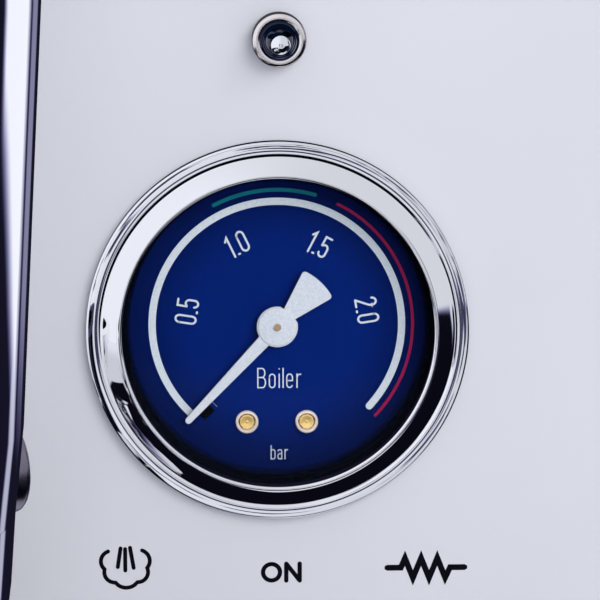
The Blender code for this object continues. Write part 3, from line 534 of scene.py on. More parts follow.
# Letters stand on the base line, and are 1 high and about 0.6 wide.
LETTERS = {
    "0": (0.56, [loop(0.28, 0.185, 0.96, 0.04)]),
    "1": (0.36, [[(0.09, 0.79), (0.24, 0.95), (0.24, 0.0)]]),
    "2": (
        0.56,
        [
            bow((0.275, 0.775), 0.185, 178, 0, 9) + bow((0.02, 0.775), 0.44, 0, -35, 5) + [(0.10, 0.04)],
            [(0.10, 0.04), (0.46, 0.04)],
        ],
    ),
    "5": (
        0.56,
        [
            [(0.44, 0.96), (0.12, 0.96), (0.11, 0.55)]
            + bow((0.28, 0.43), 0.175, 140, 0, 8)
            + bow((0.28, 0.215), 0.175, 0, -175, 10)
        ],
    ),
    ".": (0.28, [[(0.11, 0.04), (0.17, 0.04)]]),
    "B": (
        0.68,
        [
            [(0.07, 0.0), (0.07, 1.0), (0.32, 1.0)]
            + bow((0.32, 0.765), 0.165, 90, -90, squash=1.42)
            + [(0.08, 0.53)],
            [(0.07, 0.53), (0.34, 0.53)] + bow((0.34, 0.265), 0.18, 90, -90, squash=1.47) + [(0.08, 0.0)],
        ],
    ),
    "o": (0.57, [loop(0.235, 0.165, 0.70, 0.0)]),
    "i": (0.23, [[(0.08, 0.0), (0.08, 0.70)], [(0.08, 0.97), (0.081, 0.98)]]),
    "l": (0.23, [[(0.08, 0.0), (0.08, 1.0)]]),
    "e": (
        0.60,
        [
            [(0.08, 0.36), (0.40, 0.36)]
            + bow((0.235, 0.535), 0.165, 0, 180)
            + bow((0.235, 0.165), 0.165, 180, 335)
        ],
    ),
    "r": (0.36, [[(0.07, 0.0), (0.07, 0.70)], bow((0.26, 0.50), 0.19, 172, 80, 7)]),
    "b": (0.57, [[(0.07, 1.0), (0.07, 0.0)], loop(0.235, 0.165, 0.70, 0.0)]),
    "a": (
        0.60,
        [
            [(0.40, 0.0), (0.40, 0.53)] + bow((0.235, 0.535), 0.165, 0, 160, 9),
            [(0.40, 0.40), (0.235, 0.40)]
            + bow((0.235, 0.20), 0.165, 90, 270, 12, squash=1.2)
            + [(0.39, 0.05)],
        ],
    ),
    "O": (1.02, [bow((0.48, 0.5), 0.38, 90, 450, 28, squash=1.22)]),
    "N": (
        0.86,
        [[(0.12, 0.02), (0.12, 0.98)], [(0.72, 0.02), (0.72, 0.98)], [(0.14, 0.95), (0.70, 0.05)]],
    ),
}


def write(bm, words, height, width, line):
    """Letters centred on the origin of the XY plane. width is the whole word's, line the stroke's."""
    natural = sum(LETTERS[letter][0] for letter in words)
    stretch = width / natural
    cursor = -width / 2
    for letter in words:
        advance, strokes = LETTERS[letter]
        for layer, path in enumerate(strokes):
            line_points = [(cursor + x * stretch, (y - 0.5) * height) for x, y in path]
            stroke(bm, line_points, line, INK_THICKNESS * (1 + 0.2 * layer))
        cursor += advance * stretch
    return bm


def onto(bm, place):
    """Stands a flat drawing up, facing the user, with its middle at a place."""
    stand = Matrix.Translation(place) @ Matrix.Rotation(math.radians(90), 4, "X")
    bmesh.ops.transform(bm, matrix=stand, verts=bm.verts)
    return bm


def around(radius, start, end, steps=60):
    """Arc on the dial, with angles clockwise from twelve o'clock in degrees."""
    turns = [math.radians(start + (end - start) * i / steps) for i in range(steps + 1)]
    return [(radius * math.sin(a), radius * math.cos(a)) for a in turns]


white_ink = ink("white_ink", (0.55, 0.61, 0.665))
teal_ink = ink("teal_ink", (0.0, 0.13, 0.16))
crimson_ink = ink("crimson_ink", (0.30, 0.007, 0.06))
DIAL_ARCS = (
    ("scale_arc", around(0.01978, -137, 132, 120), 0.00115, 8, white_ink),
    ("working_zone", around(0.0216, -27.6, 16.4, 40), 0.0006, 1, teal_ink),
    ("high_zone", around(0.02153, 26.4, 133.5, 60), 0.00046, 1, crimson_ink),
)
for name, path, width, ends, colour in DIAL_ARCS:
    arc_mesh = bmesh.new()
    stroke(arc_mesh, path, width, ends=ends)
    piece(name, onto(arc_mesh, DIAL_MIDDLE), colour, "machine")

FIGURE_HEIGHT, FIGURE_UNIT, FIGURE_LINE, FIGURE_RADIUS = 0.0035, 0.0031, 0.00032, 0.01445
for number, (figure, angle) in enumerate((("0.5", -81), ("1.0", -25.9), ("1.5", 27.5), ("2.0", 81))):
    figure_width = FIGURE_UNIT * sum(LETTERS[letter][0] for letter in figure)
    figure_mesh = write(bmesh.new(), figure, FIGURE_HEIGHT, figure_width, FIGURE_LINE)
    outward = Matrix.Rotation(math.radians(-angle), 4, "Z") @ Matrix.Translation((0, FIGURE_RADIUS, 0))
    bmesh.ops.transform(figure_mesh, matrix=outward, verts=figure_mesh.verts)
    piece(f"figure_{number}", onto(figure_mesh, DIAL_MIDDLE), white_ink, "machine")

DIAL_WORDS = (
    ("word_boiler", "Boiler", 0.0031, 0.0072, 0.00020, -0.0086),
    ("word_bar", "bar", 0.0022, 0.0029, 0.00015, -0.0207),
)
for name, words, height, width, line, drop in DIAL_WORDS:
    word_mesh = onto(write(bmesh.new(), words, height, width, line), DIAL_MIDDLE + Vector((0.00035, 0, drop)))
    piece(name, word_mesh, white_ink, "machine")

# ---- Dial screws, pointer and movement -----------------------------------------------------------
# Two hollow brass rivets hold the dial to the movement. The pointer is pressed from thin pale-painted
# sheet, with a boss on a copper-coloured arbor and a fan-shaped counterweight.


def plain_metal(name, colour, roughness, metallic=1):
    """Bare metal with small dull, tarnished spots."""
    material = new_finish(name, colour, roughness, Metallic=metallic)
    tarnish = object_place(material).noise(300.0, 3.0).ramp(0.3, 0.75)
    stained = tarnish.tint(colour, tuple(c * 0.8 for c in colour))
    return feed(material, Base_Color=stained, Roughness=roughness + tarnish * 0.12)


def black_moulding(name, colour=(0.012, 0.012, 0.014), roughness=0.32, **sockets):
    """Moulded plastic or enamel with fine pores and duller patches."""
    material = new_finish(name, colour, roughness, Metallic=0, **sockets)
    place = object_place(material)
    pores = place.noise(1200.0, 3.0)
    dull = place.noise(45.0, 2.0).ramp(0.3, 0.7)
    return feed(material, Roughness=roughness + dull * 0.08, Normal=pores.bump(0.12, 0.00005))


def plate(outline, along, low, high):
    """A flat outline carried from low to high along the axis "X", "Y" or "Z"."""
    first, second, third = {"X": (1, 2, 0), "Y": (0, 2, 1), "Z": (0, 1, 2)}[along]
    bm = bmesh.new()
    corners = []
    for a, b in outline:
        corner = Vector((0, 0, 0))
        corner[first], corner[second], corner[third] = a, b, low
        corners.append(bm.verts.new(corner))
    shift = Vector((0, 0, 0))
    shift[third] = high - low
    thicken(bm, [bm.faces.new(corners)], shift)
    return bm


# The rivets are half metallic, so that the lamps light them where the polished parts show only the room.
RIVET_METALLIC = 0.5
brass = plain_metal("rivet_brass", (1.0, 0.70, 0.26), 0.15, RIVET_METALLIC)
pale_copper = plain_metal("rivet_rim", (0.96, 0.83, 0.72), 0.30, RIVET_METALLIC)
rim_profile = [
    (0.00132, -0.0041),
    (0.0018, -0.0041),
    *fillet((0.0016, -0.0034), 0.0002, 0, 90, 3),
    (0.00145, -0.0032),
    (0.00134, -0.0035),
]
cup_profile = [
    (0, -0.0044),
    (0.00125, -0.0044),
    (0.00125, -0.0036),
    (0.00112, -0.0034),
    (0.00100, -0.0034),
    (0.00030, -0.0037),
    (0, -0.0036),
]
CUP_FACETS = 9
for side in ("left", "right"):
    node = f"dial_screw_{side}"
    middle = on_panel(node)
    piece(f"rivet_rim_{side}", lathe(rim_profile, middle, AHEAD, 48), pale_copper, "machine", [node])
    cup_mesh = lathe(cup_profile, middle, AHEAD, CUP_FACETS)
    rivet_cup = piece(f"rivet_cup_{side}", cup_mesh, brass, "machine", [node])
    rivet_cup.data.shade_flat()

pointer_paint = ink("pointer_paint", (0.555, 0.592, 0.655), 0.4)
ZERO_TURN = math.radians(136.8)
HUB_RADIUS, HUB_FLAT, NECK_HALF, BLADE_HALF, TIP_HALF = 0.00325, 0.00272, 0.00118, 0.00103, 0.00052
POINTER_LENGTH, TAIL_LENGTH = 0.0211, 0.0099
hub_start = math.degrees(math.acos(BLADE_HALF / HUB_RADIUS))
hub_end = -math.degrees(math.asin(HUB_FLAT / HUB_RADIUS))
half_outline = [
    *fillet((0, POINTER_LENGTH - TIP_HALF), TIP_HALF, 90, 0, 6),
    *fillet((0, 0), HUB_RADIUS, hub_start, hub_end, 20),
    (NECK_HALF, -HUB_FLAT),
    *fillet((0.00249, -0.00901), 0.00055, 16.7, -74.5, 6),
    *fillet((0, 0), TAIL_LENGTH, -76, -90, 3),
]
outline = half_outline + [(-x, y) for x, y in reversed(half_outline[1:-1])]
needle_mesh = bmesh.new()
needle_face = needle_mesh.faces.new([needle_mesh.verts.new((x, y, 0)) for x, y in outline])
thicken(needle_mesh, [needle_face], (0, 0, 0.0005))
soften(needle_mesh, 0.00008, angle=50)
to_zero = Matrix.Rotation(ZERO_TURN, 4, "Z")
bmesh.ops.transform(needle_mesh, matrix=to_zero, verts=needle_mesh.verts)
onto(needle_mesh, GAUGE_FACE + Vector((0, 0.0026, 0)))
piece("needle", needle_mesh, pointer_paint, "pointer", ["gauge_pointer"])
boss_profile = [
    (0, -0.0024),
    (0.0031, -0.0024),
    (0.0031, -0.0021),
    *fillet((0.0029, -0.0021), 0.0002, 0, 90, 4),
    (0, -0.0019),
]
piece("needle_boss", lathe(boss_profile, GAUGE_FACE, AHEAD), pointer_paint, "pointer")
copper_pin = plain_metal("arbor_copper", (0.85, 0.50, 0.42), 0.25)
tip_profile = [
    (0, -0.0019),
    (0.00056, -0.0019),
    (0.00056, -0.0016),
    *fillet((0.00048, -0.0016), 0.00008, 0, 90, 3),
    (0.0003, -0.00152),
    (0.0002, -0.0016),
    (0, -0.0016),
]
piece("arbor_tip", lathe(tip_profile, GAUGE_FACE, AHEAD, 32), copper_pin, "pointer")

# The zero stop's tab is bare metal at its edge. A black sheet behind the dial is painted shade that darkens
# its window.
tab_metal = plain_metal("stop_metal", (0.86, 0.90, 0.95), 0.3)
at_zero = Matrix.Translation(GAUGE_FACE) @ Matrix.Rotation(-ZERO_TURN, 4, "Y")
tab_outline = [(-0.00210, 0.01610), (-0.00075, 0.01610), (-0.00075, 0.01650), (-0.00210, 0.01650)]
tab_mesh = soften(plate(tab_outline, "Y", 0.0036, 0.0043), 0.00006)
bmesh.ops.transform(tab_mesh, matrix=at_zero, verts=tab_mesh.verts)
piece("stop_tab", tab_mesh, tab_metal, "machine")
window_shade_outline = [(-0.0032, 0.0155), (0.0012, 0.0155), (0.0014, 0.0200), (-0.0034, 0.0200)]
window_shade_mesh = plate(window_shade_outline, "Y", 0.0050, 0.0053)
bmesh.ops.transform(window_shade_mesh, matrix=at_zero, verts=window_shade_mesh.verts)
window_shade_black = black_moulding("window_shade_black", (0.001, 0.001, 0.002), 0.9, Specular_IOR_Level=0.0)
piece("stop_window_shade", window_shade_mesh, window_shade_black, "machine")

movement_brass = plain_metal("movement_brass", (0.80, 0.58, 0.28), 0.3)
dress(movement_brass, "pointer_arbor", "sector_gear", "bourdon_tube")

# ---- Toggle switch -------------------------------------------------------------------------------
# A miniature switch held by a round chrome nut. The threaded bush is black, and the bat that sticks out
# of its mouth is chromed with a ball end.
TOGGLE_FACE = on_panel("toggle_nut")
nut_profile = [
    (0.0031, 0.0030),
    (0.0040, 0.0030),
    (0.0041, 0.0034),
    *fillet((0.0036, 0.0036), 0.0005, 0, 60, 5),
    *fillet((0.0035, 0.0037), 0.0005, 70, 110, 4),
    (0.0031, 0.0040),
]
nut_nickel = plain_metal("nut_nickel", (0.94, 0.88, 0.86), 0.12)
piece("switch_nut", lathe(nut_profile, TOGGLE_FACE, AHEAD), nut_nickel, "machine", ["toggle_nut"])
# Painted reflection: the nut's outer flank is near-black metal, for the dark crescent on top of the nut.
flank_profile = [(0.0031, 0.0003), (0.0042, 0.0003), (0.0042, 0.0029), (0.0041, 0.0031), (0.0031, 0.0031)]
flank_painted_dark = plain_metal("nut_flank", (0.05, 0.045, 0.05), 0.35)
piece("switch_nut_flank", lathe(flank_profile, TOGGLE_FACE, AHEAD), flank_painted_dark, "machine")
# The bush is a smooth moulding, nearly black. Its gloss is tinted blue: a painted blue reflection.
BUSH_SHEEN = {"Specular_IOR_Level": 0.16, "Specular_Tint": (0.02, 0.30, 1.0, 1)}
bush_black = black_moulding("bush_black", (0.0003, 0.003, 0.012), 0.06, **BUSH_SHEEN)
THREAD_PITCH = 0.0006
bush_profile = [(0, -0.0040), (0.0030, -0.0040)]
for turn in range(10):
    bush_profile += [(0.0030, THREAD_PITCH * turn - 0.0002), (0.0028, THREAD_PITCH * turn + 0.0001)]
bush_profile += [
    (0.00295, 0.0055),
    (0.0028, 0.0058),
    (0.00262, 0.0057),
    (0.00252, 0.0051),
    (0.00235, 0.0051),
    (0.00225, 0.0044),
    (0.0021, 0.0044),
    (0.0019, 0.0036),
    (0.0012, 0.0022),
    (0, 0.0022),
]
bush_mesh = lathe(bush_profile, TOGGLE_FACE, AHEAD, 64)
piece("switch_bush", bush_mesh, bush_black, "machine", ["toggle_switch"])
case_low, case_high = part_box("toggle_switch")
case_low.y = PANEL_Y + 0.0020
case_mesh = bmesh.new()
bmesh.ops.create_cube(case_mesh, size=1)
bmesh.ops.scale(case_mesh, verts=case_mesh.verts, vec=case_high - case_low)
bmesh.ops.translate(case_mesh, verts=case_mesh.verts, vec=(case_high + case_low) / 2)
black_plastic = black_moulding("switch_black")
piece("switch_case", soften(case_mesh, 0.0005), black_plastic, "machine", ["toggle_switch"])
bat_profile = [
    (0, 0.0026),
    (0.0007, 0.0026),
    (0.0008, 0.0060),
    (0.0010, 0.0092),
    *fillet((0, 0.0112), 0.0015, -48, 88, 16),
    (0, 0.0127),
]
piece("switch_bat", lathe(bat_profile, TOGGLE_FACE, AHEAD, 48), chrome, "toggle", ["toggle_lever"])

# ---- Panel marks ---------------------------------------------------------------------------------
# Black screen printing on the panel above the three pilot lamps: a steam cloud, the word ON, and the
# zigzag of a heating element.
black_ink = ink("black_ink", (0.0015, 0.0015, 0.004), 0.6)
STEAM_MARK = Vector((0.0507, PANEL_Y, 0.2715))
ON_MARK = Vector((0.0756, PANEL_Y, 0.27068))
HEATER_MARK = Vector((0.0986, PANEL_Y, 0.27125))
on_mesh = write(bmesh.new(), "ON", 0.0029, 0.0067, 0.00070)
piece("mark_on", onto(on_mesh, ON_MARK), black_ink, "machine")

zigzag_mesh = bmesh.new()
PEAK, TROUGH, STEP, LEAD, REST = 0.00155, -0.0017, 0.00129, 0.0022, 0.0
zigzag = [(-3.1 * STEP - LEAD, REST), (-3.1 * STEP, REST)]
zigzag += [((k - 2.6) * STEP, PEAK if k % 2 == 0 else TROUGH) for k in range(6)]
zigzag += [(3.0 * STEP, REST), (3.1 * STEP + LEAD, REST)]
stroke(zigzag_mesh, zigzag, 0.00095, ends=2)
piece("mark_heater", onto(zigzag_mesh, HEATER_MARK), black_ink, "machine")

cloud_mesh = bmesh.new()
CLOUD_LINE = 0.00064
lobes = [
    ((-0.00215, 0.0012), 0.00172, 109, 228),
    ((-0.00165, -0.0006), 0.00169, 172, 268),
    ((0.00014, -0.0010), 0.00215, 217, 324),
    ((0.00197, -0.0006), 0.00165, 270, 375),
    ((0.0021, 0.00125), 0.0018, -40, 71),
]
outline = [point for middle, radius, start, end in lobes for point in bow(middle, radius, start, end, 8)]
stroke(cloud_mesh, outline, CLOUD_LINE)
plumes = (
    ((-0.00119, 0.00025), (-0.00073, 0.00331)),
    ((0, -0.00032), (0, 0.0032)),
    ((0.00133, 0.0001), (0.00078, 0.0034)),
)
for plume in plumes:
    stroke(cloud_mesh, plume, CLOUD_LINE)
piece("mark_steam", onto(cloud_mesh, STEAM_MARK), black_ink, "machine")

# ---- Group head ----------------------------------------------------------------------------------
# The casting holds the piston and the bayonet. Its neck is bolted to the panel, and the spring's tall
# bonnet screws down flush on it. All of it is polished and chromed.
group_low, group_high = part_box("group_bonnet")
GROUP_AXIS = Vector((0, (group_low.y + group_high.y) / 2, 0))
bonnet_profile = [
    (0.0350, 0.29955),
    (0.0378, 0.29955),
    (0.0383, 0.3040),
    (0.0391, 0.3116),
    (0.0401, 0.3300),
    (0.0412, 0.3500),
    (0.0422, 0.3680),
    *fillet((0.0285, 0.3790), 0.0140, 0, 50, 12),
    *fillet((0.0320, 0.3900), 0.0060, 55, 90, 5),
    (0.0086, 0.3960),
    *fillet((0.0084, 0.3952), 0.0008, 90, 180, 3),
    (0.0076, 0.3890),
    (0.0330, 0.3890),
    (0.0360, 0.3850),
]
piece("bonnet", lathe(bonnet_profile, GROUP_AXIS, UP, 128), chrome, "machine", ["group_bonnet"])


def cap_screw(place, axis, radius=0.0030, height=0.0026):
    """Round screw head with a hexagon socket, standing on a surface."""
    socket = radius * 0.52
    rim = [(0, 0), (radius, 0), *fillet((radius * 0.86, height - radius * 0.14), radius * 0.14, 0, 90, 3)]
    head = lathe(rim + [(socket * 1.25, height), (0, height)], place, axis, 36)
    return head, lathe([(0, height + 0.00002), (socket, height + 0.00002), (0, height * 0.4)], place, axis, 6)


body_profile = [
    (0.0252, 0.2995),
    (0.0378, 0.2995),
    (0.0371, 0.2900),
    (0.0358, 0.2800),
    *fillet((0.0376, 0.2690), 0.0031, 160, 215, 6),
    (0.0378, 0.2590),
    *fillet((0.0373, 0.2545), 0.0015, 40, 0, 4),
    *fillet((0.0378, 0.2372), 0.0010, 0, -80, 5),
    (0.0316, 0.2360),
    (0.0312, 0.2364),
    (0.0312, 0.2397),
    (0.0343, 0.2397),
    (0.0343, 0.2442),
    (0.0312, 0.2442),
    (0.0312, 0.2510),
    (0.0252, 0.2510),
]
NECK_Z = 0.280
NECK_CENTRE = Vector((0, PANEL_Y, NECK_Z))
neck_profile = [
    (0, -0.0390),
    (0.0120, -0.0390),
    (0.0120, 0.0003),
    (0.0290, 0.0003),
    *fillet((0.0282, 0.0066), 0.0008, 0, 80, 4),
    (0.0215, 0.0086),
    *fillet((0.0235, 0.0160), 0.0075, 250, 180, 8),
    (0.0160, 0.0500),
    (0, 0.0500),
]


def gather(*parts):
    """One bmesh out of several."""
    together = bmesh.new()
    for part in parts:
        carrier = bpy.data.meshes.new("carrier")
        part.to_mesh(carrier)
        together.from_mesh(carrier)
        bpy.data.meshes.remove(carrier)
        part.free()
    return together


group_mesh = gather(lathe(body_profile, GROUP_AXIS, UP, 128), lathe(neck_profile, NECK_CENTRE, AHEAD, 96))
piece("group_casting", group_mesh, chrome, "machine", ["group_body"])

bright_steel = plain_metal("bright_steel", (0.78, 0.79, 0.82), 0.22)
# Painted shade: screw sockets and spout mouths are flat black, for the shade inside them.
socket_painted_shade = black_moulding("socket_shadow", (0.01, 0.01, 0.01), 0.6)
for number, turn in enumerate((90, 210, 330)):
    x, z = fillet((0, NECK_Z), 0.0248, turn, turn, 1)[0]
    head, socket = cap_screw(Vector((x, PANEL_Y - 0.0073, z)), AHEAD)
    piece(f"neck_screw_{number}", head, bright_steel, "machine")
    piece(f"neck_socket_{number}", socket, socket_painted_shade, "machine")

# A stout lock screw keeps the bonnet from unscrewing. It sits low on the bonnet's right, a little behind.
LOCK_TURN, LOCK_SEAT, LOCK_Z = math.radians(25), 0.0355, 0.3022
lock_axis = Vector((math.cos(LOCK_TURN), math.sin(LOCK_TURN), 0))
lock_place = GROUP_AXIS + lock_axis * LOCK_SEAT + UP * LOCK_Z
lock_head, lock_socket = cap_screw(lock_place, lock_axis, 0.0062, 0.0053)
blued_steel = plain_metal("blued_steel", (0.24, 0.22, 0.28), 0.2)
piece("lock_screw", lock_head, blued_steel, "machine")
piece("lock_socket", lock_socket, socket_painted_shade, "machine")

# ---- Piston and spring ---------------------------------------------------------------------------
# A brass piston on a long rod is pushed down by a heavy coil spring inside the bonnet. Its eye comes out
# of the bonnet's top, where the lever's pin goes through it.
piston_brass = plain_metal("piston_brass", (0.78, 0.58, 0.30), 0.25)
spring_steel = plain_metal("spring_steel", (0.42, 0.42, 0.44), 0.3)


def tube(points, radius, sides=4, closed=False):
    """A bmesh of a round bar along a path."""
    curve = bpy.data.curves.new("path", "CURVE")
    curve.dimensions = "3D"
    curve.bevel_depth = radius
    curve.bevel_resolution = sides
    curve.use_fill_caps = not closed
    spline = curve.splines.new("POLY")
    spline.points.add(len(points) - 1)
    for point, place in zip(spline.points, points):
        point.co = (*place, 1)
    spline.use_cyclic_u = closed
    guide = bpy.data.objects.new("path", curve)
    bpy.context.scene.collection.objects.link(guide)
    bm = bmesh.new()
    bm.from_mesh(guide.evaluated_get(bpy.context.evaluated_depsgraph_get()).to_mesh())
    bpy.data.objects.remove(guide)
    bpy.data.curves.remove(curve)
    bmesh.ops.remove_doubles(bm, verts=bm.verts, dist=1e-6)
    return bm


spring_low, spring_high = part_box("main_spring")
SPRING_WIRE, SPRING_RADIUS, SPRING_TURNS, STEPS_A_TURN = 0.0026, 0.0217, 6, 24
coil_low = spring_low.z + SPRING_WIRE
coil_rise = spring_high.z - SPRING_WIRE - coil_low
coil = []
for step in range(SPRING_TURNS * STEPS_A_TURN + 1):
    turn = math.tau * step / STEPS_A_TURN
    share = step / (SPRING_TURNS * STEPS_A_TURN)
    around_axis = Vector((math.cos(turn), math.sin(turn), 0)) * SPRING_RADIUS
    coil.append(GROUP_AXIS + around_axis + UP * (coil_low + coil_rise * share))
spring = piece("coil_spring", tube(coil, SPRING_WIRE), spring_steel, None, ["main_spring"])
spring.modifiers.clear()
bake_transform(spring)
dress(piston_brass, "piston")
pin_low, pin_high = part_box("fork_pin")
PIN_CENTRE = (pin_low + pin_high) / 2
PIN_Z = PIN_CENTRE.z
pin_profile = [
    (0, -0.0180),
    (0.0054, -0.0180),
    *fillet((0.0054, -0.0174), 0.0006, -90, 0, 3),
    (0.0060, -0.0152),
    (0.0040, -0.0152),
    (0.0040, 0.0152),
    (0.0060, 0.0152),
    *fillet((0.0054, 0.0174), 0.0006, 0, 90, 3),
    (0.0022, 0.0180),
    (0.0016, 0.0172),
    (0, 0.0172),
]
pin_mesh = lathe(pin_profile, PIN_CENTRE, RIGHT, 48)
piece("lever_pin", pin_mesh, bright_steel, "piston_unit", ["fork_pin"])

# ---- Brew lever ----------------------------------------------------------------------------------
# A chromed fork has two involute cam cheeks that roll on the bonnet's top and lift the piston. A tapered
# arm is screwed into it and ends in a turned walnut grip with a metal ferrule.
CAM_BASE, CAM_RISE, LEVER_TRAVEL = 0.0135, 0.0145, math.radians(112)


def cam_point(angle):
    """A point of the cam's edge, (forward, up) from the pin, where the lever has turned by the angle."""
    support = CAM_BASE + CAM_RISE * angle
    ahead = support * math.sin(angle) + CAM_RISE * math.cos(angle)
    return -ahead, -support * math.cos(angle) + CAM_RISE * math.sin(angle)


CAM_STEPS, CHEEK_THICKNESS = 40, 0.0064
cheek_outline = [
    *[cam_point(LEVER_TRAVEL * k / CAM_STEPS) for k in range(CAM_STEPS + 1)],
    *fillet((-0.0095, 0.0470), 0.0030, 150, 90, 5),
    *fillet((0.0065, 0.0475), 0.0025, 90, 10, 5),
    (0.0135, 0.0300),
    *fillet((0, 0), CAM_BASE, 0, -90, 16),
]
cheek_outline = [(GROUP_AXIS.y + y, PIN_Z + z) for y, z in cheek_outline]
for side, low in (("left", -0.0148), ("right", 0.0084)):
    cheek_mesh = soften(plate(cheek_outline, "X", low, low + CHEEK_THICKNESS), 0.0008, 3, 60)
    piece(f"fork_cheek_{side}", cheek_mesh, chrome, "lever", ["lever_fork"])
bridge_outline = [(-0.0260, 0.0330), (-0.0120, 0.0490), (0.0085, 0.0490), (0.0085, 0.0280), (-0.0100, 0.0180)]
bridge_outline = [(GROUP_AXIS.y + y, PIN_Z + z) for y, z in bridge_outline]
bridge_mesh = soften(plate(bridge_outline, "X", -0.0146, 0.0146), 0.0015, 4)
piece("fork_bridge", bridge_mesh, chrome, "lever", ["lever_fork"])
arm_profile = [
    (0, 0.0400),
    (0.0100, 0.0400),
    (0.0100, 0.0500),
    *fillet((0.0090, 0.0520), 0.0010, 0, 80, 4),
    (0.0085, 0.0545),
    (0.0080, 0.0600),
    (0.0074, 0.1000),
    (0.0078, 0.1370),
    (0.0080, 0.1500),
    (0, 0.1500),
]
piece("lever_arm", lathe(arm_profile, PIN_CENTRE, UP, 64), chrome, "lever", ["lever_fork"])


def drawn_along(place, axis, factor):
    """A place signal for a pattern that is drawn out along one axis: 0, 1 or 2."""
    factors = [1.0, 1.0, 1.0]
    factors[axis] = factor
    return place.times(factors)


def walnut(name, along):
    """Oiled walnut whose grain runs along an axis: 0, 1 or 2."""
    oiled = {"Coat_Weight": 0.25, "Coat_Roughness": 0.25}
    material = new_finish(name, (0.20, 0.09, 0.045), 0.42, Metallic=0, **oiled)
    drawn = drawn_along(object_place(material), along, 0.09)
    rings = drawn.noise(190.0, 5.0, Distortion=1.2)
    pores = drawn.noise(1400.0, 3.0).ramp(0.34, 0.46)
    stops = [
        (0.25, (0.045, 0.018, 0.009)),
        (0.45, (0.125, 0.052, 0.024)),
        (0.62, (0.21, 0.095, 0.045)),
        (0.80, (0.30, 0.15, 0.075)),
    ]
    wood = drawn.node("ValToRGB", {"stops": stops}, {"Fac": rings})
    colour = pores.tint((0.035, 0.014, 0.008), wood)
    return feed(material, Base_Color=colour, Roughness=0.50 - rings * 0.12, Normal=pores.bump(0.25, 0.0001))


lever_walnut = walnut("lever_walnut", 2)
grip_profile = [
    (0, 0.1392),
    (0.0112, 0.1392),
    (0.0124, 0.1410),
    (0.0130, 0.1440),
    (0.0127, 0.1500),
    (0.0128, 0.1600),
    (0.0136, 0.1720),
    (0.0150, 0.1860),
    (0.0165, 0.2000),
    (0.0174, 0.2120),
    (0.0175, 0.2200),
    (0.0170, 0.2290),
    (0.0155, 0.2365),
    (0.0128, 0.2415),
    (0.0080, 0.2450),
    (0, 0.2455),
]
grip_mesh = lathe(grip_profile, PIN_CENTRE, UP, 80)
piece("lever_grip", grip_mesh, lever_walnut, "lever", ["lever_handle"])
ferrule_profile = [
    (0.0083, 0.1380),
    (0.0116, 0.1380),
    *fillet((0.0116, 0.1386), 0.0006, -90, 90, 6),
    (0.0083, 0.1392),
]
ferrule_mesh = lathe(ferrule_profile, PIN_CENTRE, UP, 64)
piece("lever_ferrule", ferrule_mesh, chrome, "lever", ["lever_handle"])

# ---- Group seal and shower screen ----------------------------------------------------------------
# A moulded black rubber ring seals the basket's rim against the casting. The stainless screen under it
# is drilled with a fine grid of holes, and spreads the water over the coffee.


def black_rubber(name):
    """Matt rubber with some grey dust on it."""
    material = new_finish(name, (0.018, 0.018, 0.019), 0.7, Metallic=0)
    place = object_place(material)
    dust, skin = place.noise(120.0, 5.0), place.noise(1800.0, 2.0)
    colour = dust.ramp(0.45, 0.8).tint((0.016, 0.016, 0.017), (0.045, 0.044, 0.043))
    return feed(material, Base_Color=colour, Roughness=0.62 + dust * 0.2, Normal=skin.bump(0.2, 0.0001))


rubber = black_rubber("rubber")
dress(rubber, "group_gasket")


def drilled_steel(name, pitch):
    """Stainless sheet with a regular pattern of small dark holes, seen from below."""
    material = new_finish(name, (0.72, 0.73, 0.75), 0.3)
    place = object_place(material)
    cells = place.node("TexVoronoi", {}, {"Vector": place, "Scale": 1 / pitch, "Randomness": 0.0})
    sheet = cells.ramp(0.22, 0.28)
    colour = sheet.tint((0.01, 0.01, 0.01), (0.72, 0.73, 0.75))
    return feed(material, Base_Color=colour, Metallic=sheet, Roughness=0.7 - sheet * 0.4)


dress(drilled_steel("shower_steel", 0.0022), "shower_screen")

# ---- Portafilter ---------------------------------------------------------------------------------
# The chromed brass cup has two lugs that turn in the casting's bayonet. A stem carries the walnut
# handle, a pressed basket sits in the cup, and a double spout is screwed under it.
STEM_CENTRE = Vector((0, GROUP_AXIS.y, 0.2230))
cup_profile = [
    (0.0050, 0.2040),
    (0.0140, 0.2040),
    *fillet((0.0255, 0.2160), 0.0085, 250, 340, 10),
    (0.0341, 0.2170),
    (0.0345, 0.2200),
    (0.0345, 0.2349),
    *fillet((0.0339, 0.2349), 0.0006, 0, 90, 3),
    (0.0306, 0.2356),
    (0.0306, 0.2440),
    *fillet((0.0301, 0.2440), 0.0005, 0, 90, 3),
    (0.0273, 0.2445),
    (0.0273, 0.2140),
    (0.0200, 0.2090),
    (0.0050, 0.2070),
]
stem_profile = [
    (0, 0.0310),
    (0.0095, 0.0310),
    *fillet((0.0115, 0.0390), 0.0045, 225, 180, 5),
    (0.0070, 0.0560),
    *fillet((0.0085, 0.0590), 0.0010, 210, 90, 5),
    (0.0092, 0.0600),
    (0.0092, 0.0620),
    (0.0049, 0.0620),
    (0.0049, 0.0800),
    (0, 0.0800),
]
head_parts = [lathe(cup_profile, GROUP_AXIS, UP, 128), lathe(stem_profile, STEM_CENTRE, AHEAD, 64)]
LUG_LOW, LUG_HIGH = 0.2402, 0.2436
lug_outline = [(0.0290, -0.0075), (0.0333, -0.0065), (0.0333, 0.0065), (0.0290, 0.0075)]
for half_turns in (0, 1):
    lug = soften(plate(lug_outline, "Z", LUG_LOW, LUG_HIGH), 0.0004)
    turn = Matrix.Translation(GROUP_AXIS) @ Matrix.Rotation(half_turns * math.pi, 4, "Z")
    bmesh.ops.transform(lug, matrix=turn, verts=lug.verts)
    head_parts.append(lug)
piece("portafilter_cup", gather(*head_parts), chrome, "portafilter", ["portafilter_head"])

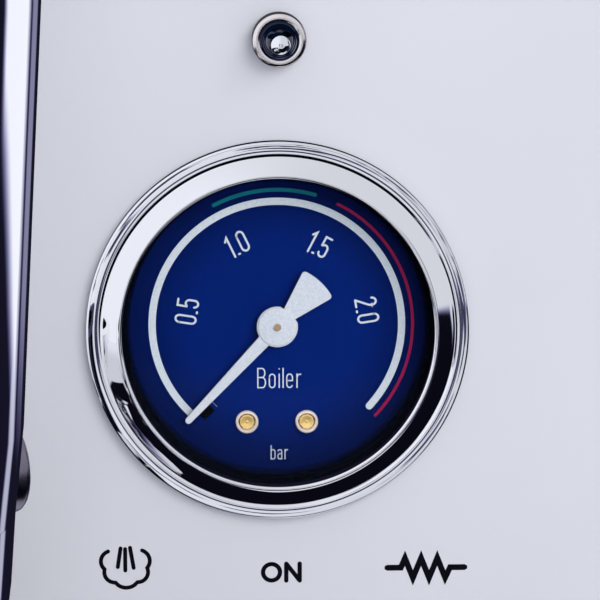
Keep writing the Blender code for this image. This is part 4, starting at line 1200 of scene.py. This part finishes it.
handle_end = -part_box("portafilter_handle")[0].y + GROUP_AXIS.y
handle_profile = [
    (0, 0.0623),
    (0.0090, 0.0623),
    (0.0100, 0.0640),
    (0.0110, 0.0670),
    (0.0113, 0.0760),
    (0.0117, 0.0880),
    (0.0130, 0.1010),
    (0.0150, 0.1150),
    (0.0161, 0.1270),
    (0.0165, 0.1370),
    (0.0160, 0.1460),
    (0.0143, 0.1540),
    (0.0110, 0.1595),
    (0.0068, handle_end - 0.0008),
    (0, handle_end),
]
handle_walnut = walnut("handle_walnut", 1)
handle_mesh = lathe(handle_profile, STEM_CENTRE, AHEAD, 80)
piece("filter_grip", handle_mesh, handle_walnut, "portafilter", ["portafilter_handle"])
dress(bright_steel, "filter_basket")


def smooth_path(knots, steps):
    """Catmull-Rom curve through the knots."""
    knots = [Vector(k) for k in knots]
    ends = [2 * knots[0] - knots[1], *knots, 2 * knots[-1] - knots[-2]]
    points = []
    for a, b, c, d in zip(ends, ends[1:], ends[2:], ends[3:]):
        for i in range(steps):
            t = i / steps
            cubic = (3 * b - a - 3 * c + d) * t**3
            points.append(0.5 * (2 * b + (c - a) * t + (2 * a - 5 * b + 4 * c - d) * t**2 + cubic))
    return points + [knots[-1]]


SPOUT_X = 0.0160
bend = [(-SPOUT_X, 0.1780), (-0.0158, 0.1840), (-0.0125, 0.1905), (-0.0060, 0.1945), (0.0, 0.1955)]
route = [(x, GROUP_AXIS.y, z) for x, z in bend + [(-x, z) for x, z in reversed(bend[:-1])]]
spout_nut = [(0, 0.1950), (0.0092, 0.1950), (0.0100, 0.1962), (0.0100, 0.2010), (0.0092, 0.2037), (0, 0.2037)]
spout_parts = [tube(smooth_path(route, 5), 0.0052, 8), lathe(spout_nut, GROUP_AXIS, UP, 48)]
lip_profile = [
    (0.0034, 0.1779),
    (0.0052, 0.1779),
    *fillet((0.0052, 0.1790), 0.0005, -90, 90, 5),
    (0.0034, 0.1796),
]
mouth_profile = [(0, 0.17795), (0.0036, 0.17795), (0, 0.1830)]
spout_ends = [GROUP_AXIS + RIGHT * side * SPOUT_X for side in (-1, 1)]
spout_parts += [lathe(lip_profile, spout_end, UP, 40) for spout_end in spout_ends]
piece("double_spout", gather(*spout_parts), chrome, "portafilter", ["portafilter_spout"])
# The spout mouths are painted shade: black cones in their openings.
for number, spout_end in enumerate(spout_ends):
    mouth = lathe(mouth_profile, spout_end, UP, 32)
    piece(f"spout_mouth_{number}", mouth, socket_painted_shade, "portafilter")

# ---- Pilot lamps ---------------------------------------------------------------------------------
# Three small lamps sit under the printed marks. Each is a chromed ring round a ribbed amber lens, on a
# black moulded holder that is pushed through the panel.


def lamp_lens(name):
    """Amber plastic with a ribbed back."""
    material = new_finish(name, (0.62, 0.20, 0.02), 0.12, Metallic=0, Coat_Weight=0.6)
    place = object_place(material)
    ribs = place.node("TexVoronoi", {}, {"Vector": place, "Scale": 900.0})
    colour = ribs.ramp(0.1, 0.7).tint((0.75, 0.27, 0.03), (0.42, 0.10, 0.01))
    return feed(material, Base_Color=colour, Normal=ribs.bump(0.3, 0.0002))


holder_profile = [
    (0, -0.0140),
    (0.0036, -0.0140),
    (0.0038, -0.0136),
    (0.0039, 0.0003),
    (0.0034, 0.0010),
    (0, 0.0010),
]
ring_profile = [
    (0.0034, 0.0003),
    (0.0048, 0.0003),
    (0.0048, 0.0010),
    *fillet((0.0041, 0.0013), 0.0007, 0, 80, 5),
    (0.0037, 0.0022),
    (0.0034, 0.0019),
]
lens_profile = [(0, 0.0010), (0.0034, 0.0010), (0.0034, 0.0021), *fillet((0, -0.0004), 0.0044, 38, 90, 7)]
LAMP_PARTS = (
    ("holder", holder_profile, 32, black_plastic, "black_plastic"),
    ("ring", ring_profile, 64, chrome, "chrome"),
    ("lens", lens_profile, 40, lamp_lens("amber_lens"), "clear_plastic"),
)
for name in ("steam", "on", "heat"):
    node = f"pilot_lamp_{name}"
    for part, profile, steps, finish, slot in LAMP_PARTS:
        part_mesh = lathe(profile, on_panel(node), AHEAD, steps)
        piece(f"lamp_{part}_{name}", part_mesh, finish, "machine", [node])

# ---- Sight glass ---------------------------------------------------------------------------------
# The boiler's level shows in a glass tube between two chromed fittings. Two guard bars stand in front
# of it, and rubber seals close its ends.
SIGHT_AXIS = Vector((-0.075, -0.020, 0))
SIGHT_Z = (0.274, 0.346)
stub_profile = [
    (0, -0.0150),
    (0.0042, -0.0150),
    (0.0042, 0.0003),
    (0.0080, 0.0003),
    (0.0080, 0.0016),
    *fillet((0.0072, 0.0017), 0.0008, 0, 90, 4),
    (0.0048, 0.0028),
    (0.0042, 0.0150),
    (0, 0.0150),
]
fittings = []
for z in SIGHT_Z:
    fitting_profile = [
        (0, z - 0.0070),
        (0.0080, z - 0.0070),
        *fillet((0.0083, z - 0.0050), 0.0012, -80, 0, 5),
        *fillet((0.0083, z + 0.0050), 0.0012, 0, 80, 5),
        (0.0080, z + 0.0070),
        (0, z + 0.0070),
    ]
    fittings.append(lathe(fitting_profile, SIGHT_AXIS, UP, 64))
    fittings.append(lathe(stub_profile, Vector((SIGHT_AXIS.x, PANEL_Y, z)), AHEAD, 48))
for side in (-1, 1):
    bar = SIGHT_AXIS + Vector((side * 0.0070, -0.0030, 0))
    fittings.append(tube([bar + UP * SIGHT_Z[0], bar + UP * SIGHT_Z[1]], 0.0012, 3))
piece("sight_fittings", gather(*fittings), chrome, "machine", ["sight_glass_frame"])
TUBE_LOW, TUBE_HIGH, TUBE_BORE, TUBE_RADIUS, SEAL_HEIGHT = 0.2813, 0.3387, 0.0030, 0.0042, 0.0022
glass_wall = [
    (TUBE_BORE, TUBE_LOW),
    (TUBE_RADIUS, TUBE_LOW),
    (TUBE_RADIUS, TUBE_HIGH),
    (TUBE_BORE, TUBE_HIGH),
]
piece("sight_tube", lathe(glass_wall, SIGHT_AXIS, UP, 48), glass, "machine", ["sight_glass_tube"])
for number, low in enumerate((TUBE_LOW, TUBE_HIGH - SEAL_HEIGHT)):
    high = low + SEAL_HEIGHT
    seal_profile = [
        (TUBE_RADIUS, low),
        (0.0056, low),
        (0.0058, (low + high) / 2),
        (0.0056, high),
        (TUBE_RADIUS, high),
    ]
    piece(f"sight_seal_{number}", lathe(seal_profile, SIGHT_AXIS, UP, 40), rubber, "machine")

# ---- Steam and hot water taps --------------------------------------------------------------------
# Each tap is a chromed valve on the panel with a fluted black knob in front. A ball joint under it holds
# the bent stainless wand.
VALVE_X, VALVE_Z, WAND_Y, WAND_BALL_Z = 0.112, 0.228, -0.022, 0.201


def flute(bm, centre, count, depth, inner, outer):
    """Presses shallow flutes into the wall of a knob that is turned about a line from front to back."""
    for vertex in bm.verts:
        offset = vertex.co - centre
        offset.y = 0
        radius = offset.length
        if radius > inner:
            angle = math.atan2(offset.z, offset.x)
            share = min(1.0, (radius - inner) / (outer - inner))
            pull = depth * share * (0.5 - 0.5 * math.cos(angle * count)) ** 2
            vertex.co -= offset.normalized() * pull
    return bm


valve_profile = [
    (0, -0.0230),
    (0.0085, -0.0230),
    (0.0085, 0.0003),
    (0.0170, 0.0003),
    *fillet((0.0164, 0.0019), 0.0006, 0, 90, 4),
    (0.0130, 0.0032),
    *fillet((0.0140, 0.0062), 0.0028, 250, 180, 6),
    (0.0110, 0.0290),
    *fillet((0.0102, 0.0298), 0.0008, 0, 90, 4),
    (0.0040, 0.0310),
    (0.0040, 0.0430),
    (0, 0.0430),
]
socket_profile = [
    (0.0072, 0.1955),
    (0.0096, 0.1955),
    *fillet((0.0098, 0.1963), 0.0008, -80, 0, 4),
    (0.0106, 0.2060),
    (0.0106, 0.2280),
    (0.0083, 0.2280),
    (0.0083, 0.1990),
]
knob_profile = [
    (0, 0.0320),
    (0.0140, 0.0320),
    *fillet((0.0150, 0.0345), 0.0025, -90, -20, 5),
    (0.0205, 0.0365),
    *fillet((0.0200, 0.0420), 0.0015, -20, 20, 5),
    (0.0213, 0.0470),
    *fillet((0.0175, 0.0525), 0.0030, 10, 80, 6),
    (0.0120, 0.0556),
    (0.0118, 0.0548),
    (0, 0.0548),
]
button_profile = [
    (0, 0.0547),
    (0.0112, 0.0547),
    (0.0112, 0.0552),
    *fillet((0.0104, 0.0556), 0.0008, 0, 80, 4),
    (0, 0.0565),
]
nozzle_profile = [
    (0, -0.0040),
    (0.0048, -0.0040),
    (0.0052, -0.0034),
    (0.0056, 0.0052),
    *fillet((0.0046, 0.0062), 0.0010, 0, 60, 4),
    (0.0030, 0.0108),
    (0, 0.0115),
]
BALL_RADIUS, WAND_RADIUS, FLUTES, FLUTE_DEPTH = 0.0076, 0.0040, 9, 0.0022
SLEEVE_RADIUS, SLEEVE_START, SLEEVE_END = 0.0052, 18, 34
ball_profile = [(0, -BALL_RADIUS), *fillet((0, 0), BALL_RADIUS, -90, 90, 24)[1:-1], (0, BALL_RADIUS)]
for side, label in ((1, "steam"), (-1, "water")):
    face = Vector((side * VALVE_X, PANEL_Y, VALVE_Z))
    socket_axis = Vector((side * VALVE_X, WAND_Y, 0))
    valve_mesh = gather(lathe(valve_profile, face, AHEAD, 72), lathe(socket_profile, socket_axis, UP, 64))
    piece(f"{label}_valve_body", valve_mesh, chrome, "machine", [f"{label}_valve"])
    knob, knob_body = [f"{label}_knob"], f"{label}_tap_knob"
    knob_mesh = flute(lathe(knob_profile, face, AHEAD, 144), face, FLUTES, FLUTE_DEPTH, 0.0160, 0.0205)
    piece(f"{label}_knob_grip", knob_mesh, black_plastic, knob_body, knob)
    button_mesh = lathe(button_profile, face, AHEAD, 64)
    piece(f"{label}_knob_button", button_mesh, chrome, knob_body, knob)

    ball = Vector((side * VALVE_X, WAND_Y, WAND_BALL_Z))
    knots = [
        (0, 0, -0.0030),
        (0, 0, -0.0180),
        (0.0010 * side, -0.0030, -0.0340),
        (0.0050 * side, -0.0150, -0.0580),
        (0.0080 * side, -0.0240, -0.0760),
    ]
    wand_path = [ball + point for point in smooth_path(knots, 10)]
    tip_axis = (wand_path[-1] - wand_path[-2]).normalized()
    wand_mesh = gather(
        tube(wand_path, WAND_RADIUS, 6),
        lathe(ball_profile, ball, UP, 48),
        lathe(nozzle_profile, wand_path[-1], tip_axis, 48),
    )
    piece(f"{label}_wand_tube", wand_mesh, chrome, f"{label}_arm", [f"{label}_wand"])
    sleeve = tube(wand_path[SLEEVE_START:SLEEVE_END], SLEEVE_RADIUS, 6)
    piece(f"{label}_wand_sleeve", sleeve, rubber, f"{label}_arm")

# ---- Drip tray and grille ------------------------------------------------------------------------
# The tray is folded and welded sheet, enamelled black behind a brushed stainless fascia. The slotted
# grille has the same black enamel and lies on the tray's rim.


def recast(node, width, segments=2):
    """A copy of a CAD node with its flat faces whole again and its edges rounded."""
    bm = bmesh.new()
    bm.from_mesh(nodes[node].data)
    bmesh.ops.remove_doubles(bm, verts=bm.verts, dist=1e-6)
    bmesh.ops.dissolve_limit(bm, angle_limit=math.radians(1), verts=bm.verts, edges=bm.edges)
    return soften(bm, width, segments)


def brushed_steel(name, across_axis):
    """Stainless with a fine grain drawn along one axis."""
    material = new_finish(name, (0.70, 0.71, 0.73), 0.3)
    place = object_place(material)
    grain = drawn_along(place, across_axis, 0.02).noise(2600.0, 3.0)
    water = place.noise(22.0, 4.0).ramp(0.5, 0.75)
    colour = grain.tint((0.64, 0.65, 0.67), (0.76, 0.77, 0.79))
    rough = 0.24 + grain * 0.10 + water * 0.08
    return feed(material, Base_Color=colour, Roughness=rough, Normal=grain.bump(0.10, 0.00005))


fascia_steel = brushed_steel("fascia_steel", 0)
tray_enamel = black_moulding("tray_enamel", (0.004, 0.004, 0.005), 0.5)
tray_shell = piece("tray_shell", recast("drip_tray", 0.0006), fascia_steel, "tray", ["drip_tray"])
tray_shell.data.materials.append(tray_enamel)
FASCIA_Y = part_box("drip_grille")[0].y - 0.0012
for face in tray_shell.data.polygons:
    face.material_index = 0 if face.center.y < FASCIA_Y else 1
piece("tray_grille", recast("drip_grille", 0.0008, 3), tray_enamel, "grille", ["drip_grille"])

# ---- Cup rail ------------------------------------------------------------------------------------
# A bent chromed bar runs round the cup warmer and keeps the cups on it. It stands on six turned posts,
# which are screwed to the top panel.
RAIL_X, RAIL_FRONT, RAIL_BACK, RAIL_CORNER, RAIL_Z = 0.140, 0.006, 0.140, 0.018, 0.402
POST_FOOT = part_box("top_panel")[1].z + 0.0003
rail_path = []
for x, y, turn in ((1, -1, -90), (1, 1, 0), (-1, 1, 90), (-1, -1, 180)):
    middle_y = RAIL_BACK - RAIL_CORNER if y > 0 else RAIL_FRONT + RAIL_CORNER
    rail_path += fillet((x * (RAIL_X - RAIL_CORNER), middle_y), RAIL_CORNER, turn, turn + 90, 12)
rail_parts = [tube([(x, y, RAIL_Z) for x, y in rail_path], 0.0035, 6, closed=True)]
post_profile = [
    (0, POST_FOOT),
    (0.0045, POST_FOOT),
    *fillet((0.0040, POST_FOOT + 0.0020), 0.0005, 0, 90, 3),
    *fillet((0.0038, POST_FOOT + 0.0046), 0.0016, 250, 180, 5),
    (0.0022, RAIL_Z),
    (0, RAIL_Z),
]
posts = [(side * RAIL_X, y) for side in (-1, 1) for y in (0.035, 0.110)]
posts += [(0.0, RAIL_FRONT), (0.0, RAIL_BACK)]
rail_parts += [lathe(post_profile, Vector((x, y, 0)), UP, 32) for x, y in posts]
piece("rail_bar", gather(*rail_parts), chrome, "machine", ["cup_rail"])

# ---- Water tank ----------------------------------------------------------------------------------
# A smoky clear plastic tank hangs by its rim in the top panel, so that it lifts out to be filled. A
# hinged stainless lid covers it.


def smoky_plastic(name):
    """Clear grey plastic, fogged in patches."""
    material = new_finish(name, (0.34, 0.38, 0.42), 0.14, Metallic=0, IOR=1.49)
    fog = object_place(material).noise(40.0, 4.0).ramp(0.45, 0.75)
    return feed(material, Roughness=0.12 + fog * 0.12, Alpha=0.34 + fog * 0.08)


tank_smoke = smoky_plastic("tank_smoke")
piece("tank_shell", recast("water_tank", 0.0008), tank_smoke, "tank", ["water_tank"])

# ---- Feet ----------------------------------------------------------------------------------------
# Moulded rubber feet with a ribbed waist carry the machine. Each is held by a screw from inside the
# chassis pan.
RIB_PITCH, RIB_STEP, RIB_DEPTH = 0.0050, 0.0006, 0.0012
foot_profile = [(0, 0.0), (0.0168, 0.0), *fillet((0.0168, 0.0012), 0.0012, -90, 0, 4), (0.0178, 0.0032)]
for rib in range(4):
    waist, foot_z = 0.0160 - RIB_STEP * rib, RIB_PITCH * rib
    foot_profile += [(waist, 0.0068 + foot_z), (waist - RIB_DEPTH, 0.0082 + foot_z)]
    foot_profile += [(waist - RIB_DEPTH, 0.0096 + foot_z), (waist - 0.0002, 0.0108 + foot_z)]
foot_profile += [(0.0130, 0.0297), (0, 0.0297)]
for name in ("front_left", "front_right", "back_left", "back_right"):
    low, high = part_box(f"foot_{name}")
    middle = Vector(((low.x + high.x) / 2, (low.y + high.y) / 2, 0))
    foot_mesh = lathe(foot_profile, middle, UP, 48)
    piece(f"rubber_foot_{name}", foot_mesh, rubber, "machine", [f"foot_{name}"])

# ---- Boiler, pump and wiring boxes ---------------------------------------------------------------
# The boiler is spun and brazed copper with a brass flange for the heating element. The valve and
# pressure switch stand on it; the pump and the control box are black mouldings on the pan.


def brazed_copper(name):
    """Copper with heat stains and fine scratches."""
    material = new_finish(name, (0.80, 0.42, 0.28), 0.3)
    place = object_place(material)
    stain = place.noise(28.0, 5.0).ramp(0.4, 0.7)
    scratch = place.noise(700.0, 2.0)
    colour = stain.tint((0.82, 0.44, 0.30), (0.42, 0.19, 0.12))
    rough = 0.26 + stain * 0.2 + scratch * 0.05
    return feed(material, Base_Color=colour, Roughness=rough, Normal=scratch.bump(0.1, 0.0001))


dress(brazed_copper("boiler_copper"), "boiler")
dress(movement_brass, "heating_element", "safety_valve")
dress(black_plastic, "pressurestat", "pump", "control_box")

# ---- Power inlet ---------------------------------------------------------------------------------
# A three-pin appliance inlet with flat bright blades is screwed in the back panel. The lead is a
# separate item.
piece("inlet_body", recast("power_inlet", 0.0006), black_plastic, "machine", ["power_inlet"])
inlet_low, inlet_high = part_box("power_inlet")
INLET_CENTRE = (inlet_low + inlet_high) / 2
BLADE_HALF_WIDTH, BLADE_HALF_HEIGHT, BLADE_ROOT, BLADE_TIP = 0.001, 0.0025, 0.2285, 0.2420
corners = ((-1, -1), (1, -1), (1, 1), (-1, 1))
for number, (x, z) in enumerate(((-0.0065, -0.0015), (0.0065, -0.0015), (0.0, 0.0030))):
    blade_outline = [(x + a * BLADE_HALF_WIDTH, z + b * BLADE_HALF_HEIGHT) for a, b in corners]
    blade = plate(blade_outline, "Y", BLADE_ROOT, BLADE_TIP)
    bmesh.ops.translate(blade, verts=blade.verts, vec=(INLET_CENTRE.x, 0, INLET_CENTRE.z))
    piece(f"inlet_pin_{number}", soften(blade, 0.0003), bright_steel, "machine")

# ---- Panel screws --------------------------------------------------------------------------------
# Six low button-head screws of bright steel, with hexagon sockets, hold the back panel on the body.
# They stand in two columns, near its left and right edges.
BACK_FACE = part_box("back_panel")[1].y
SCREW_X, SCREW_ROWS = 0.138, (0.050, 0.200, 0.365)
screw_places = [Vector((side * SCREW_X, BACK_FACE, z)) for side in (-1, 1) for z in SCREW_ROWS]
for number, place in enumerate(screw_places):
    head, socket = cap_screw(place, -AHEAD, 0.0032, 0.0014)
    piece(f"back_screw_{number}", head, bright_steel, "machine")
    piece(f"back_socket_{number}", socket, socket_painted_shade, "machine")

# ---- What the polished faces reflect -------------------------------------------------------------
# The polished parts reflect the studio and the lower group alone. The small parts would speckle them,
# so they are left out of every reflection.
REFLECTED = ("group_casting", "portafilter_cup")
for thing in bpy.context.scene.objects:
    if thing.type == "MESH" and thing.name not in REFLECTED:
        thing.visible_glossy = False
